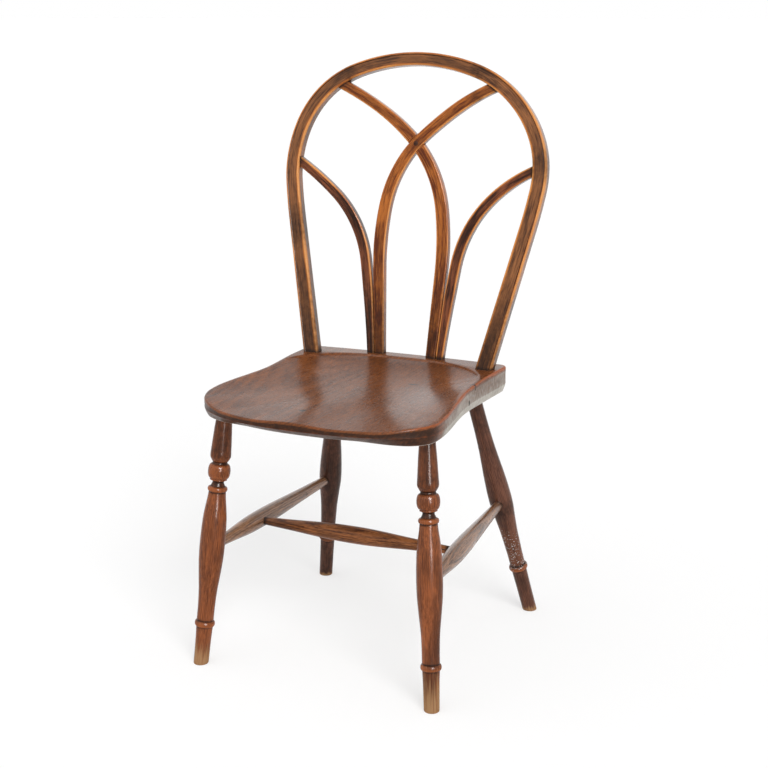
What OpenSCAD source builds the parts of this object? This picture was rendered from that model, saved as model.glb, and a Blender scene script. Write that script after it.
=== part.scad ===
// Hoop back chair: a bent hoop tenoned through a saddled plank seat, two pairs of bent arcs that
// cross inside it, four raked turned legs and an H of three stretchers.
// Millimetres, +Z up. The origin lies on the floor under the middle of the chair, the chair faces -Y,
// and left and right are as seen from its front, so left is -X.

/* [Seat] */
// Height of the flat deck at the back of the seat above the floor
seat_height = 440; // [425:1:455]
// Thickness of the plank under the deck
seat_thickness = 40; // [37:1:44]
// Depth of the seat from its front edge to the middle of its rear edge
seat_depth = 410.5; // [400:0.5:430]
// Distance of the rear edge behind the middle of the four feet
seat_set_back = 139.5; // [137:0.5:146]
// Width across the front corners
seat_front_w = 390; // [382:1:404]
// Width at the waist
seat_waist_w = 347; // [342:1:356]
// Width across the back corners
seat_back_w = 352; // [348:1:362]
// Distance from the rear edge to the waist
seat_waist_at = 150; // [130:1:170]
// Depth of the rounded front, from the right front corner to the front edge
seat_front_round = 81; // [74:1:88]
// The same depth at the left front corner, which was cut rounder
seat_left_round = 122; // [112:1:130]
// Squareness of the rounded front, 2 for an ellipse
seat_front_square = 2.25; // [2.1:0.05:2.5]
// Bow of the rear edge
seat_rear_bow = 8; // [4:0.5:10]
// Radius of the rear corners
seat_corner_r = 14; // [10:1:17]
// Height of the chamfer round the underside
chamfer_h = 13; // [10:0.5:16]
// Run of that chamfer along the sides
chamfer_side = 4; // [3:0.5:6]
// Run of that chamfer along the back
chamfer_back = 10; // [7:0.5:12]
// Run of that chamfer under the front edge
chamfer_front = 27; // [20:1:32]
// Distance from the front corners over which the chamfer widens
chamfer_spread = 110; // [90:5:130]
// Radius of the worn upper arris
arris_r = 2.4; // [1.5:0.1:3.2]

/* [Saddle] */
// Width of the flat deck at the middle of the back
deck_depth = 31.5; // [30:0.5:36]
// How far the crease of the deck sweeps forward at the sides
crease_sweep = 93; // [84:1:100]
// Drop at the crease
crease_drop = 3; // [2:0.1:4]
// Depth of the bowl below the deck
bowl_depth = 16; // [12:0.5:17]
// Depth of the thigh hollows at the front edge below the deck
thigh_depth = 18.5; // [16:0.5:20]
// Fall of the side edges from the deck to the front corners
edge_fall = 12.5; // [10:0.5:14]
// Distance from the rear edge to where the side edges start to fall
edge_fall_from = 90; // [80:1:100]
// Distance from the front corners over which the front edge falls into the thigh hollows
thigh_run = 75; // [65:1:85]
// Height of the pommel between the thigh hollows
pommel_h = 3.5; // [2:0.1:5]
// Width of the pommel
pommel_w = 140; // [110:1:160]
// Length of the pommel behind the front edge
pommel_l = 250; // [200:5:280]

/* [Feet and leg places] */
// Distance from the front feet to the rear feet, middle to middle
feet_depth = 422; // [412:1:432]
// Distance of the front legs in from the front corners of the seat, where they enter it
front_top_side = 28.5; // [26:0.5:32]
// Distance of the rear legs in from the back corners of the seat, where they enter it
rear_top_side = 54.5; // [51:0.5:58]
// Distance of the front legs behind the front edge of the seat, where they enter it
front_top_in = 103.5; // [98:0.5:110]
// Distance of the rear legs before the rear edge of the seat, where they enter it
rear_top_in = 28.5; // [26:0.5:32]
// How far each front foot stands out sideways from the top of its leg
front_splay = 29; // [24:0.5:34]
// How far each rear foot stands out sideways from the top of its leg
rear_splay = 73; // [68:0.5:78]

/* [Leg turnings] */
// Diameter of the feet at the floor
foot_d = 23; // [21:0.5:25]
// Diameter of the foot rings
ring_d = 31.3; // [29:0.1:33]
// Height of a foot ring
ring_h = 9; // [7:0.5:11]
// Distance of the front foot rings up the leg
front_ring_at = 65.5; // [55:0.5:75]
// Distance of the rear foot rings up the leg
rear_ring_at = 86; // [76:0.5:94]
// Slim diameter above the foot rings of the front legs
front_waist_d = 26.3; // [25:0.1:28]
// Slim diameter above the foot rings of the rear legs
rear_waist_d = 25.2; // [24:0.1:27]
// Greatest diameter of the front legs
front_swell_d = 38.7; // [37:0.1:41]
// Greatest diameter of the rear legs
rear_swell_d = 37.5; // [36:0.1:40]
// Distance of the front swell up the leg
front_swell_at = 198; // [190:1:205]
// Distance of the rear swell up the leg
rear_swell_at = 219; // [210:1:228]
// Diameter of the ball
ball_d = 34.4; // [32:0.1:36]
// Height of the ball
ball_h = 22; // [20:0.5:24]
// Distance of the middle of the ball below the seat
ball_drop = 95; // [90:0.5:100]
// Diameter of the bead below the ball
bead_d = 30.4; // [28:0.1:32]
// Height of the bead
bead_h = 7; // [6:0.5:8]
// Distance of the middle of the bead below the middle of the ball
bead_drop = 28; // [27:0.5:30]
// Diameter of the cove between the bead and the ball
cove_d = 17.5; // [16:0.1:20]
// Diameter of the neck above the ball
neck_d = 22.5; // [20:0.1:24]
// Distance of the neck above the middle of the ball
neck_rise = 14; // [13:0.5:16]
// Diameter of the shoulder of the vase
vase_d = 31.5; // [29:0.1:33]
// Diameter of the legs where they enter the seat
leg_top_d = 24; // [23:0.1:26]
// Diameter of the leg tenons
leg_tenon_d = 22; // [20:0.1:22.4]
// Depth of the front leg tenons in the seat
front_tenon = 17; // [14:0.5:18]
// Depth of the rear leg tenons in the seat
rear_tenon = 22; // [16:0.5:24]

/* [Stretchers] */
// Height of the side stretchers at the front legs
side_front_z = 187; // [180:1:194]
// Height of the side stretchers at the rear legs
side_rear_z = 201; // [194:1:208]
// Diameter of the ends of the side stretchers
side_end_d = 15.5; // [14.5:0.1:16.5]
// Greatest diameter of the side stretchers
side_swell_d = 28.5; // [27:0.1:30]
// Depth of their tenons in the legs
side_tenon = 18; // [15:0.5:19]
// Share of the side stretchers from the front leg to the cross stretcher
cross_share = 0.36; // [0.33:0.005:0.4]
// Diameter of the ends of the cross stretcher
cross_end_d = 12.5; // [11.5:0.1:13.5]
// Greatest diameter of the cross stretcher
cross_swell_d = 27.3; // [25:0.1:29]
// Depth of its tenons in the side stretchers
cross_tenon = 12; // [10:0.5:13]

/* [Hoop] */
// Width of the hoop over its feet
hoop_feet_w = 331; // [327:0.2:333]
// Distance from the rear edge of the seat forward to the front face of the hoop
hoop_in = 58; // [55:0.5:61]
// Backward rake of the hoop, in degrees
hoop_rake = 11.8; // [10.5:0.1:13]
// Outward lean of the hoop's legs, in degrees
hoop_lean = 12.4; // [11.3:0.1:13.1]
// Length of the straight legs of the hoop
hoop_straight = 226; // [216:1:233]
// Radius of the slight bend above them
hoop_waist_r = 840; // [700:5:1000]
// Turn of that bend, in degrees
hoop_waist_turn = 4.1; // [3:0.1:5]
// Outer radius of the shoulders
shoulder_r = 179; // [174.5:0.5:183.5]
// Turn of the shoulders, in degrees
shoulder_turn = 78.5; // [76.5:0.5:80.5]
// Width of the hoop at its feet
hoop_foot_w = 26.6; // [25.2:0.1:27.6]
// Width of the hoop at its shoulders
hoop_shoulder_w = 22; // [21:0.1:23.5]
// Width of the hoop at its crown
hoop_crown_w = 20.9; // [20:0.1:22]
// Thickness of the hoop from front to back
hoop_t = 17.8; // [16.4:0.1:18.4]
// Radius of the rounded arrises of the hoop
hoop_arris = 3; // [2:0.1:4]
// How far the crown of the hoop leans to the left, as the old bent wood does
hoop_rack = 6.4; // [4:0.1:7]
// Height above the seat where that lean starts
rack_from = 312; // [312:1:325]
// Height above the seat where it is full
rack_to = 463; // [450:1:475]
// Width of the bead along the outer edge
hoop_bead_w = 3.4; // [3:0.1:4.5]
// Depth of the groove beside that bead
hoop_groove = 0.7; // [0.4:0.1:1]

/* [Arcs] */
// Distance from the rear edge of the seat forward to the front face of the arcs
arc_in = 20; // [18.5:0.5:21.5]
// Thickness of the arcs from front to back
arc_t = 13; // [12:0.1:13.5]
// Radius of the rounded arrises of the arcs
arc_arris = 2.4; // [1.5:0.1:3]
// Spread of the feet of the long arcs, middle to middle
long_feet = 91; // [89:0.2:91.6]
// Outward lean of the long arcs at the seat, in degrees
long_lean = 3.7; // [3:0.1:4]
// Length of their straight feet
long_straight = 139; // [133:1:145]
// Radius of their first, easy bend
long_ease_r = 450; // [420:5:480]
// Turn of the easy bend, in degrees
long_ease_turn = 13; // [11:0.5:14]
// Radius of their main bend
long_bend_r = 199; // [193:1:205]
// Turn of the main bend, in degrees
long_bend_turn = 37.6; // [36.2:0.2:39]
// Lean of the hoop where they meet it, in degrees
long_landing_angle = 58.5; // [56.5:0.5:60.5]
// Width of the long arcs at the seat
long_foot_w = 16.8; // [15.6:0.1:17.2]
// Greatest width of the long arcs
long_mid_w = 20.8; // [19.6:0.1:21.2]
// Width of the long arcs below the crossing
long_upper_w = 19.6; // [18.6:0.1:20.4]
// Width of the long arcs at the hoop
long_tip_w = 16.6; // [15.4:0.1:17.6]
// Spread of the feet of the short arcs, middle to middle
short_feet = 122.2; // [121.6:0.2:124]
// Outward lean of the short arcs at the seat, in degrees
short_lean = 4.6; // [4.4:0.1:5.4]
// Radius of their long easy bends
short_ease_r = 1890; // [1700:10:2100]
// Turn of the easy bend, in degrees
short_ease_turn = 4.6; // [4.2:0.1:5]
// Radius of the main bend of the right short arc
short_bend_r = 196; // [190:1:202]
// Turn of that bend, in degrees
short_bend_turn = 34.6; // [33.2:0.2:36]
// Radius of the main bend of the left short arc
left_bend_r = 183; // [177:1:189]
// Turn of that bend, in degrees
left_bend_turn = 39.2; // [37.8:0.2:40.6]
// Lean of the hoop where they meet it, in degrees
short_landing_angle = 2.6; // [0:0.1:5]
// Height up the short arcs where they start to bend forward to the hoop
short_forward_from = 110; // [100:1:125]
// Width of the short arcs at the seat
short_foot_w = 12.6; // [11.4:0.1:13]
// Greatest width of the short arcs
short_mid_w = 17.4; // [16.2:0.1:17.8]
// Width of the short arcs at the hoop
short_tip_w = 15; // [14:0.1:16]

/* [Joints] */
// Gap round each tenon in its socket
socket_gap = 0.15; // [0.1:0.05:0.25]
// Gap where a shoulder, foot or tip stands against its neighbour
seat_gap = 0.2; // [0.15:0.05:0.3]
// Diameter of the hoop tenons that pass through the seat
hoop_tenon_d = 14.5; // [13:0.1:15.5]
// Diameter of the arc tenons in the seat
arc_foot_d = 9; // [8:0.1:9.6]
// Depth of the arc tenons in the seat
arc_foot_tenon = 14; // [12:0.5:18]
// Diameter of the arc tenons in the hoop
arc_tip_d = 7; // [6:0.1:8]
// Depth of the arc tenons in the hoop
arc_tip_tenon = 9; // [8:0.5:11]
// Thickness of the hoop wedges at the underside of the seat
wedge_t = 3.2; // [2.4:0.1:4]
// Length of the hoop wedges
wedge_l = 24; // [18:0.5:28]
// Diameter of the pin through the crossing
pin_d = 7.5; // [6.5:0.1:8.5]
// How far the head of the pin stands out of the front arc
pin_proud = 0.5; // [0.3:0.1:0.8]

/* [Hidden] */
$fn = 64;
tiny = 0.01;

elm = "#8a4f2c";
hoop_brown = "#7a4626";
arc_brown = "#9a5f35";
short_brown = "#5d3a24";
leg_red = "#8c3f22";
stretcher_brown = "#8f5a3c";
wedge_pale = "#c69a62";
pin_black = "#2a2018";

// Blends
function mix(a, b, t) = a + (b - a) * t;
function held(t) = max(0, min(1, t));
function eased(t) = let(h = held(t)) h * h * (3 - 2 * h);

// Places of the seat, measured from the middle of the feet
seat_bottom = seat_height - seat_thickness;
seat_front_y = seat_set_back - seat_depth;
function corner_front_y(x) = seat_front_y + (x < 0 ? seat_left_round : seat_front_round);
waist_y = seat_set_back - seat_waist_at;
corner_back_y = seat_set_back - seat_rear_bow - seat_corner_r;
seat_middle = [0, mix(seat_set_back, seat_front_y, 0.486)];
edge_level_y = seat_set_back - edge_fall_from;
pommel_y = seat_front_y + pommel_l;

// The origin stands under the middle of the chair's box, which reaches from the front edge of the
// seat to the back of the rear feet
rear_foot_reach = foot_d / 2;
box_middle_y = (seat_front_y + feet_depth / 2 + rear_foot_reach) / 2;
module stand() {
    translate([0, -box_middle_y, 0])
        children();
}

// Sets a piece that is made along +Z from one point towards another
module along(from, to) {
    way = to - from;
    translate(from)
        rotate([0, acos(way.z / norm(way)), atan2(way.y, way.x)])
            children();
}

// Mirrors a right-hand piece to the left where side is -1
module on_side(side) {
    mirror([side < 0 ? 1 : 0, 0, 0])
        children();
}

// A solid through rings of points, each ring with as many points, closed at both ends
module skin(rings) {
    n = len(rings[0]);
    last = len(rings) - 1;
    sides = [for (i = [0:last - 1], j = [0:n - 1])
        let(k = (j + 1) % n)
        each [
            [i * n + j, i * n + k, (i + 1) * n + j],
            [i * n + k, (i + 1) * n + k, (i + 1) * n + j]
        ]];
    ends = [[for (j = [n - 1:-1:0]) j], [for (j = [0:n - 1]) last * n + j]];
    polyhedron(points = [for (ring = rings) each ring], faces = concat(sides, ends), convexity = 8);
}

// Seat outline, one half from the middle of the rear edge round to the front
rear_steps = 9;
corner_steps = 4;
side_steps = 16;
front_steps = 20;
function rear_edge_y(x) = seat_set_back - seat_rear_bow * pow(x / (seat_back_w / 2), 2);
function half_width(y, corner_y) = y > waist_y
    ? mix(seat_waist_w, seat_back_w, eased((y - waist_y) / (corner_back_y - waist_y))) / 2
    : mix(seat_waist_w, seat_front_w, eased((waist_y - y) / (waist_y - corner_y))) / 2;
rear_end_x = seat_back_w / 2 - seat_corner_r;
side_top_y = rear_edge_y(rear_end_x) - seat_corner_r;
function half_outline(corner_y) = concat(
    [for (i = [0:rear_steps]) let(x = rear_end_x * i / rear_steps) [x, rear_edge_y(x)]],
    [for (i = [1:corner_steps])
        let(a = 90 - 90 * i / corner_steps)
        [rear_end_x + seat_corner_r * cos(a), side_top_y + seat_corner_r * sin(a)]],
    [for (i = [1:side_steps])
        let(y = mix(side_top_y, corner_y, i / side_steps))
        [half_width(y, corner_y), y]],
    [for (i = [1:front_steps])
        let(a = 90 * i / front_steps, p = 2 / seat_front_square)
        [seat_front_w / 2 * pow(cos(a), p), mix(corner_y, seat_front_y, pow(sin(a), p))]]
);
left_half = half_outline(corner_front_y(-1));
half_count = len(left_half);
outline = concat(
    half_outline(corner_front_y(1)),
    [for (i = [half_count - 2:-1:1]) [-left_half[i].x, left_half[i].y]]
);
outline_count = len(outline);
function outline_way(i) =
    let(way = outline[(i + 1) % outline_count] - outline[(i + outline_count - 1) % outline_count])
    way / norm(way);
function outline_in(i) = let(way = outline_way(i)) [way.y, -way.x];

// Rise and fall of the top of the seat
function front_part(p) = eased((seat_front_w / 2 - abs(p.x)) / thigh_run);
function pommel(p) = abs(p.x) < pommel_w / 2
    ? pommel_h * pow(cos(180 * p.x / pommel_w), 2) * eased((pommel_y - p.y) / (0.6 * pommel_l))
    : 0;
function edge_depth(q) =
    let(side = edge_fall * held((edge_level_y - q.y) / (edge_level_y - corner_front_y(1))))
    q.y < corner_front_y(q.x) ? mix(side, thigh_depth, front_part(q)) - pommel(q) : side;
function bowl(p) = mix(bowl_depth, thigh_depth, eased((pommel_y - p.y) / pommel_l)) - pommel(p);

// The crease between the deck and the saddle
crease_power = 3.5;
function crease_y(x) =
    seat_set_back - deck_depth - crease_sweep * pow(abs(x) / (seat_back_w / 2), crease_power);
function behind_crease(q, t) = let(p = mix(seat_middle, q, t)) p.y > crease_y(p.x);
function crease_share(q, low, high, tries) = tries == 0
    ? (low + high) / 2
    : let(half = (low + high) / 2)
        behind_crease(q, half)
            ? crease_share(q, low, half, tries - 1)
            : crease_share(q, half, high, tries - 1);
rim_share = 0.965;
function saddle_share(q) = behind_crease(q, 1) ? min(rim_share, crease_share(q, 0, 1, 14)) : rim_share;
function crease_depth(q, share) = edge_depth(q) + crease_drop * eased((rim_share - share) / 0.1);
function saddle_depth(q, share, t) =
    mix(bowl(mix(seat_middle, q, share * t)), crease_depth(q, share), pow(t, 3));

saddle_rings = [0.22, 0.42, 0.58, 0.71, 0.82, 0.91, 1];
crease_run = 5;
function top_ring(t) = [for (q = outline)
    let(share = saddle_share(q), p = mix(seat_middle, q, share * t))
    [p.x, p.y, seat_height - saddle_depth(q, share, t)]];
function deck_ring(t) = [for (q = outline)
    let(
        share = saddle_share(q),
        lip = share + crease_run / norm(q - seat_middle) * eased((rim_share - share) / 0.1),
        p = mix(seat_middle, q, mix(lip, 0.985, t))
    )
    [p.x, p.y, seat_height - edge_depth(q)]];
function inset_ring(run, drop) = [for (i = [0:outline_count - 1])
    let(q = outline[i], p = q + outline_in(i) * run)
    [p.x, p.y, seat_height - edge_depth(q) - drop]];
function chamfer_run(q) = q.y < corner_front_y(q.x)
    ? mix(chamfer_side, chamfer_front, eased((seat_front_w / 2 - abs(q.x)) / chamfer_spread))
    : mix(chamfer_side, chamfer_back, eased((q.y - side_top_y) / seat_corner_r));
under_ring = [for (i = [0:outline_count - 1])
    let(q = outline[i], p = q + outline_in(i) * chamfer_run(q))
    [p.x, p.y, seat_bottom]];
arris_ring = [for (q = outline) [q.x, q.y, seat_bottom + chamfer_h]];

module seat_blank() {
    skin(concat(
        [under_ring, arris_ring],
        [for (a = [0:45:90]) inset_ring(arris_r * (1 - cos(a)), arris_r * (1 - sin(a)))],
        [deck_ring(0.6), deck_ring(0)],
        [for (i = [len(saddle_rings) - 1:-1:0]) top_ring(saddle_rings[i])]
    ));
}

// Legs: foot and seat ends of their axes, for the right side
front_top = [seat_front_w / 2 - front_top_side, seat_front_y + front_top_in, seat_bottom];
rear_top = [seat_back_w / 2 - rear_top_side, seat_set_back - rear_top_in, seat_bottom];
front_foot = [front_top.x + front_splay, -feet_depth / 2, 0];
rear_foot = [rear_top.x + rear_splay, feet_depth / 2, 0];
front_l = norm(front_top - front_foot);
rear_l = norm(rear_top - rear_foot);
function up_leg(foot, top, z) = mix(foot, top, z / seat_bottom);

// A turned form is a list of [distance along the axis, diameter] marks
function slope_at(marks, i) =
    let(a = marks[max(i - 1, 0)], b = marks[min(i + 1, len(marks) - 1)])
    (b[1] - a[1]) / (b[0] - a[0]);
curve_steps = 4;
function curve(marks) = [
    for (i = [0:len(marks) - 2], j = [0:curve_steps - 1])
        let(
            t = j / curve_steps,
            run = marks[i + 1][0] - marks[i][0],
            bulge = slope_at(marks, i) * run * t * pow(1 - t, 2)
                - slope_at(marks, i + 1) * run * pow(t, 2) * (1 - t)
        )
        [marks[i][0] + run * t, mix(marks[i][1], marks[i + 1][1], t * t * (3 - 2 * t)) + bulge],
    marks[len(marks) - 1]
];
function bead(middle, h, root, top) =
    [for (a = [0:20:180]) [middle - h / 2 * cos(a), root + (top - root) * sin(a)]];
module turned(marks) {
    last = len(marks) - 1;
    rotate_extrude()
        polygon(concat(
            [[0, marks[0][0]]],
            [for (m = marks) [m[1] / 2, m[0]]],
            [[0, marks[last][0]]]
        ));
}

// How far a leg is made past the floor and the seat before it is cut to them
leg_spare = 6;
function foot_marks(ring_at, waist_d) = concat(
    curve([
        [-leg_spare, foot_d],
        [0, foot_d],
        [ring_at * 0.6, mix(foot_d, waist_d, 0.4)],
        [ring_at - ring_h / 2 - tiny, waist_d - 0.3]
    ]),
    bead(ring_at, ring_h, waist_d, ring_d)
);
// Marks from one place to another, each given as [share of the way, share of the swelling]
function swelling(from, to, slim, fat, shares) =
    [for (s = shares) [mix(from, to, s[0]), mix(slim, fat, s[1])]];
front_marks = let(
        slim = front_waist_d,
        fat = front_swell_d,
        ball_at = front_l - ball_drop,
        ball_foot = ball_at - ball_h / 2,
        bead_at = ball_at - bead_drop,
        neck_at = ball_at + neck_rise
    ) concat(
    foot_marks(front_ring_at, slim),
    curve(concat(
        swelling(front_ring_at, front_swell_at, slim, fat,
            [[0.045, 0], [0.21, 0.02], [0.4, 0.2], [0.585, 0.57], [0.79, 0.92], [1, 1]]),
        swelling(front_swell_at, bead_at, slim, fat, [[0.41, 0.84], [0.625, 0.55], [0.82, 0.18], [0.95, 0]])
    )),
    bead(bead_at, bead_h, slim, bead_d),
    curve(swelling(bead_at, ball_foot, slim, cove_d, [[0.29, 0.5], [0.65, 1], [0.82, 0.55]])),
    swelling(bead_at, ball_foot, slim, cove_d, [[0.85, 0], [0.94, 0.05]]),
    bead(ball_at, ball_h, slim, ball_d),
    curve(concat(
        swelling(ball_at, neck_at, neck_d, vase_d, [[0.86, 0.15], [1, 0]]),
        swelling(neck_at, front_l, neck_d, vase_d, [[0.037, 0.4], [0.11, 1]]),
        swelling(neck_at, front_l, leg_top_d, vase_d,
            [[0.245, 0.91], [0.495, 0.6], [0.69, 0.32], [0.84, 0.08]]),
        [[front_l + leg_spare, leg_top_d]]
    ))
);
rear_marks = let(slim = rear_waist_d, fat = rear_swell_d) concat(
    foot_marks(rear_ring_at, slim),
    curve(concat(
        swelling(rear_ring_at, rear_swell_at, slim, fat,
            [[0.045, 0], [0.18, 0], [0.315, 0.11], [0.475, 0.23], [0.585, 0.39], [0.745, 0.7], [0.9, 1]]),
        swelling(rear_swell_at, rear_l, slim, fat,
            [[0.065, 1], [0.225, 0.73], [0.33, 0.47], [0.46, 0.17]]),
        swelling(rear_swell_at, rear_l, slim, leg_top_d, [[0.64, 0.4]]),
        [[rear_l + leg_spare, leg_top_d - 0.4]]
    ))
);

// Heights that bound the chair: the floor and the underside of the seat
wide = 1000;
module below(z) {
    translate([-wide / 2, -wide / 2, z - wide])
        cube(wide);
}
module above(z) {
    translate([-wide / 2, -wide / 2, z])
        cube(wide);
}

// Places of the stretchers, for the right side
side_front = up_leg(front_foot, front_top, side_front_z);
side_rear = up_leg(rear_foot, rear_top, side_rear_z);
side_l = norm(side_rear - side_front);
front_bury = front_swell_d / 2 - side_tenon;
rear_bury = rear_swell_d / 2 - side_tenon;
cross_right = mix(side_front, side_rear, cross_share);
cross_left = [-cross_right.x, cross_right.y, cross_right.z];
cross_l = norm(cross_right - cross_left);
cross_bury = side_swell_d / 2 - cross_tenon;
mouth = 0.8;

module leg(foot, top, marks, tenon) {
    leg_l = norm(top - foot);
    difference() {
        union() {
            difference() {
                along(foot, top)
                    turned(marks);
                below(0);
                above(seat_bottom - seat_gap);
            }
            along(top, foot)
                translate([0, 0, -tenon])
                    cylinder(h = tenon + leg_top_d, d = leg_tenon_d);
        }
        side_bores();
    }
}
module side_bores() {
    along(side_front, side_rear) {
        translate([0, 0, front_bury - seat_gap])
            cylinder(h = front_swell_d, d = side_end_d + 2 * socket_gap);
        translate([0, 0, side_l - rear_bury + seat_gap - rear_swell_d])
            cylinder(h = rear_swell_d, d = side_end_d + 2 * socket_gap);
    }
}
module front_leg(side) {
    color(leg_red)
        stand()
            on_side(side)
                leg(front_foot, front_top, front_marks, front_tenon);
}
module rear_leg(side) {
    color(leg_red)
        stand()
            on_side(side)
                leg(rear_foot, rear_top, rear_marks, rear_tenon);
}

// A stretcher swells from its two round tenons to one greatest diameter
function stretcher_marks(from, to, from_neck, to_neck, end_d, swell_d, swell_at) = concat(
    [[from, end_d], [from_neck, end_d]],
    curve([
        [from_neck + tiny, end_d],
        [mix(from_neck, swell_at, 0.3), mix(end_d, swell_d, 0.34)],
        [mix(from_neck, swell_at, 0.7), mix(end_d, swell_d, 0.86)],
        [swell_at, swell_d],
        [mix(swell_at, to_neck, 0.22), mix(end_d, swell_d, 0.9)],
        [mix(swell_at, to_neck, 0.6), mix(end_d, swell_d, 0.42)],
        [to_neck - tiny, end_d]
    ]),
    [[to_neck, end_d], [to, end_d]]
);
module side_stretcher(side) {
    marks = stretcher_marks(
        front_bury, side_l - rear_bury, front_swell_d / 2 + mouth,
        side_l - rear_swell_d / 2 - mouth, side_end_d, side_swell_d, side_l * cross_share
    );
    color(stretcher_brown)
        stand()
            on_side(side)
                difference() {
                    along(side_front, side_rear)
                        turned(marks);
                    along(cross_right, cross_left)
                        translate([0, 0, cross_bury - seat_gap])
                            cylinder(h = side_swell_d, d = cross_end_d + 2 * socket_gap);
                }
}
module cross_stretcher() {
    marks = stretcher_marks(
        cross_bury, cross_l - cross_bury, side_swell_d / 2 + mouth,
        cross_l - side_swell_d / 2 - mouth, cross_end_d, cross_swell_d, cross_l / 2
    );
    color(arc_brown)
        stand()
            along(cross_left, cross_right)
                turned(marks);
}

// Bent pieces. A station is [across, up, lean from the upright, length so far], and a turn that is
// above 0 leans it more to the right
function went(p, run) = [p[0] + run * sin(p[2]), p[1] + run * cos(p[2]), p[2], p[3] + run];
function bent(p, r, turn) =
    let(lean = p[2] + turn, way = sign(turn))
    [
        p[0] + way * r * (cos(p[2]) - cos(lean)),
        p[1] + way * r * (sin(lean) - sin(p[2])),
        lean,
        p[3] + r * abs(turn) * PI / 180
    ];
function straight_stations(p, run, n) = [for (i = [1:n]) went(p, run * i / n)];
function bend_stations(p, r, turn, n) = [for (i = [1:n]) bent(p, r, turn * i / n)];
function half_turn(p, q) = atan2(q[0] - p[0], q[1] - p[1]) - p[2];
function last_bend(p, q, n) =
    let(half = half_turn(p, q), chord = norm([q[0] - p[0], q[1] - p[1]]))
    bend_stations(p, chord / (2 * sin(abs(half))), 2 * half, n);

// How far the hoop leans to the left at a place in a plane that rakes back
function rack_at(z, rake) = hoop_rack * eased((z * cos(rake) - rack_from) / (rack_to - rack_from));
function racked_hoop(ring) = [for (p = ring) [p.x - rack_at(p.z, hoop_rake), p.y, p.z]];

// Rounded section from one edge to the other, as [across, depth behind the front face]
function rounded(from, to, t, r) = [
    for (c = [[to - r, r, 0], [from + r, r, 90], [from + r, t - r, 180], [to - r, t - r, 270]],
        a = [0:45:90])
        [c[0] + r * cos(c[2] + a), c[1] - r * sin(c[2] + a)]
];
function ring_point(s, q, on) = [
    s[0] + q[0] * cos(s[2]) + on * sin(s[2]),
    q[1],
    s[1] - q[0] * sin(s[2]) + on * cos(s[2])
];
function ring_at(s, section) = [for (q = section) ring_point(s, q, 0)];
// The ring of a foot, cut to the deck of the seat for a piece that rakes back
function foot_ring(s, section, rake) = [for (q = section)
    let(up = s[1] - q[0] * sin(s[2]))
    ring_point(s, q, (q[1] * tan(rake) + seat_gap / cos(rake) - up) / cos(s[2]))];

// Hoop: stations along its outer edge, from the right foot over the crown to the left foot
hoop_y = seat_set_back - hoop_in;
hoop_start = [hoop_feet_w / 2, 0, hoop_lean, 0];
hoop_bend_1 = went(hoop_start, hoop_straight);
hoop_bend_2 = bent(hoop_bend_1, hoop_waist_r, -hoop_waist_turn);
hoop_bend_3 = bent(hoop_bend_2, shoulder_r, -shoulder_turn);
crown_r = hoop_bend_3[0] / cos(hoop_bend_3[2]);
crown_turn = 90 + hoop_bend_3[2];
hoop_half = concat(
    [hoop_start],
    straight_stations(hoop_start, hoop_straight, 4),
    bend_stations(hoop_bend_1, hoop_waist_r, -hoop_waist_turn, 3),
    bend_stations(hoop_bend_2, shoulder_r, -shoulder_turn, 28),
    bend_stations(hoop_bend_3, crown_r, -crown_turn, 8)
);
hoop_half_l = hoop_half[len(hoop_half) - 1][3];
hoop_stations = concat(
    hoop_half,
    [for (i = [len(hoop_half) - 2:-1:0])
        let(s = hoop_half[i]) [-s[0], s[1], -180 - s[2], 2 * hoop_half_l - s[3]]]
);
function hoop_w(s) = lookup(
    min(s[3], 2 * hoop_half_l - s[3]) / hoop_half_l,
    [[0, hoop_foot_w], [0.8, hoop_shoulder_w], [1, hoop_crown_w]]
);
// The groove lies on the front face, after the first rounded arris of the section
function hoop_outline(s) = let(arrises = rounded(-hoop_w(s), 0, hoop_t, hoop_arris)) concat(
    [for (i = [0:2]) arrises[i]],
    [[-hoop_bead_w, 0], [-hoop_bead_w - hoop_groove, hoop_groove], [-hoop_bead_w - 2 * hoop_groove, 0]],
    [for (i = [3:11]) arrises[i]]
);

module in_hoop_plane() {
    translate([0, hoop_y, seat_height])
        rotate([-hoop_rake, 0, 0])
            children();
}

// Round tenon of a hoop leg, from inside the leg down through the seat
hoop_foot_middle = ring_point(hoop_start, [-hoop_foot_w / 2, hoop_t / 2], 0);
hoop_foot_way = [sin(hoop_lean), 0, cos(hoop_lean)];
tenon_reach = seat_thickness * 1.5;
tenon_root = 14;
module hoop_tenon_axis() {
    in_hoop_plane()
        along(
            hoop_foot_middle + hoop_foot_way * tenon_root,
            hoop_foot_middle - hoop_foot_way * tenon_reach
        )
            children();
}
hoop_tenon_l = tenon_reach + tenon_root;

// The wedge is driven up from the underside of the seat, across the round tenon
wedge_tip_t = 0.8;
wedge_spare = 8;
module wedge_form(grow) {
    low = hoop_foot_middle - hoop_foot_way * (seat_thickness / cos(hoop_lean) / cos(hoop_rake));
    side_w = hoop_tenon_d / 2 - 0.2;
    in_hoop_plane()
        translate(low)
            rotate([90, hoop_lean, 0])
                translate([0, 0, -side_w - grow])
                    linear_extrude(2 * (side_w + grow))
                        polygon([
                            [-wedge_t / 2 - grow, -wedge_spare], [wedge_t / 2 + grow, -wedge_spare],
                            [wedge_t / 2 + grow, 0], [wedge_tip_t / 2 + grow, wedge_l + grow],
                            [-wedge_tip_t / 2 - grow, wedge_l + grow], [-wedge_t / 2 - grow, 0]
                        ]);
}

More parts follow.
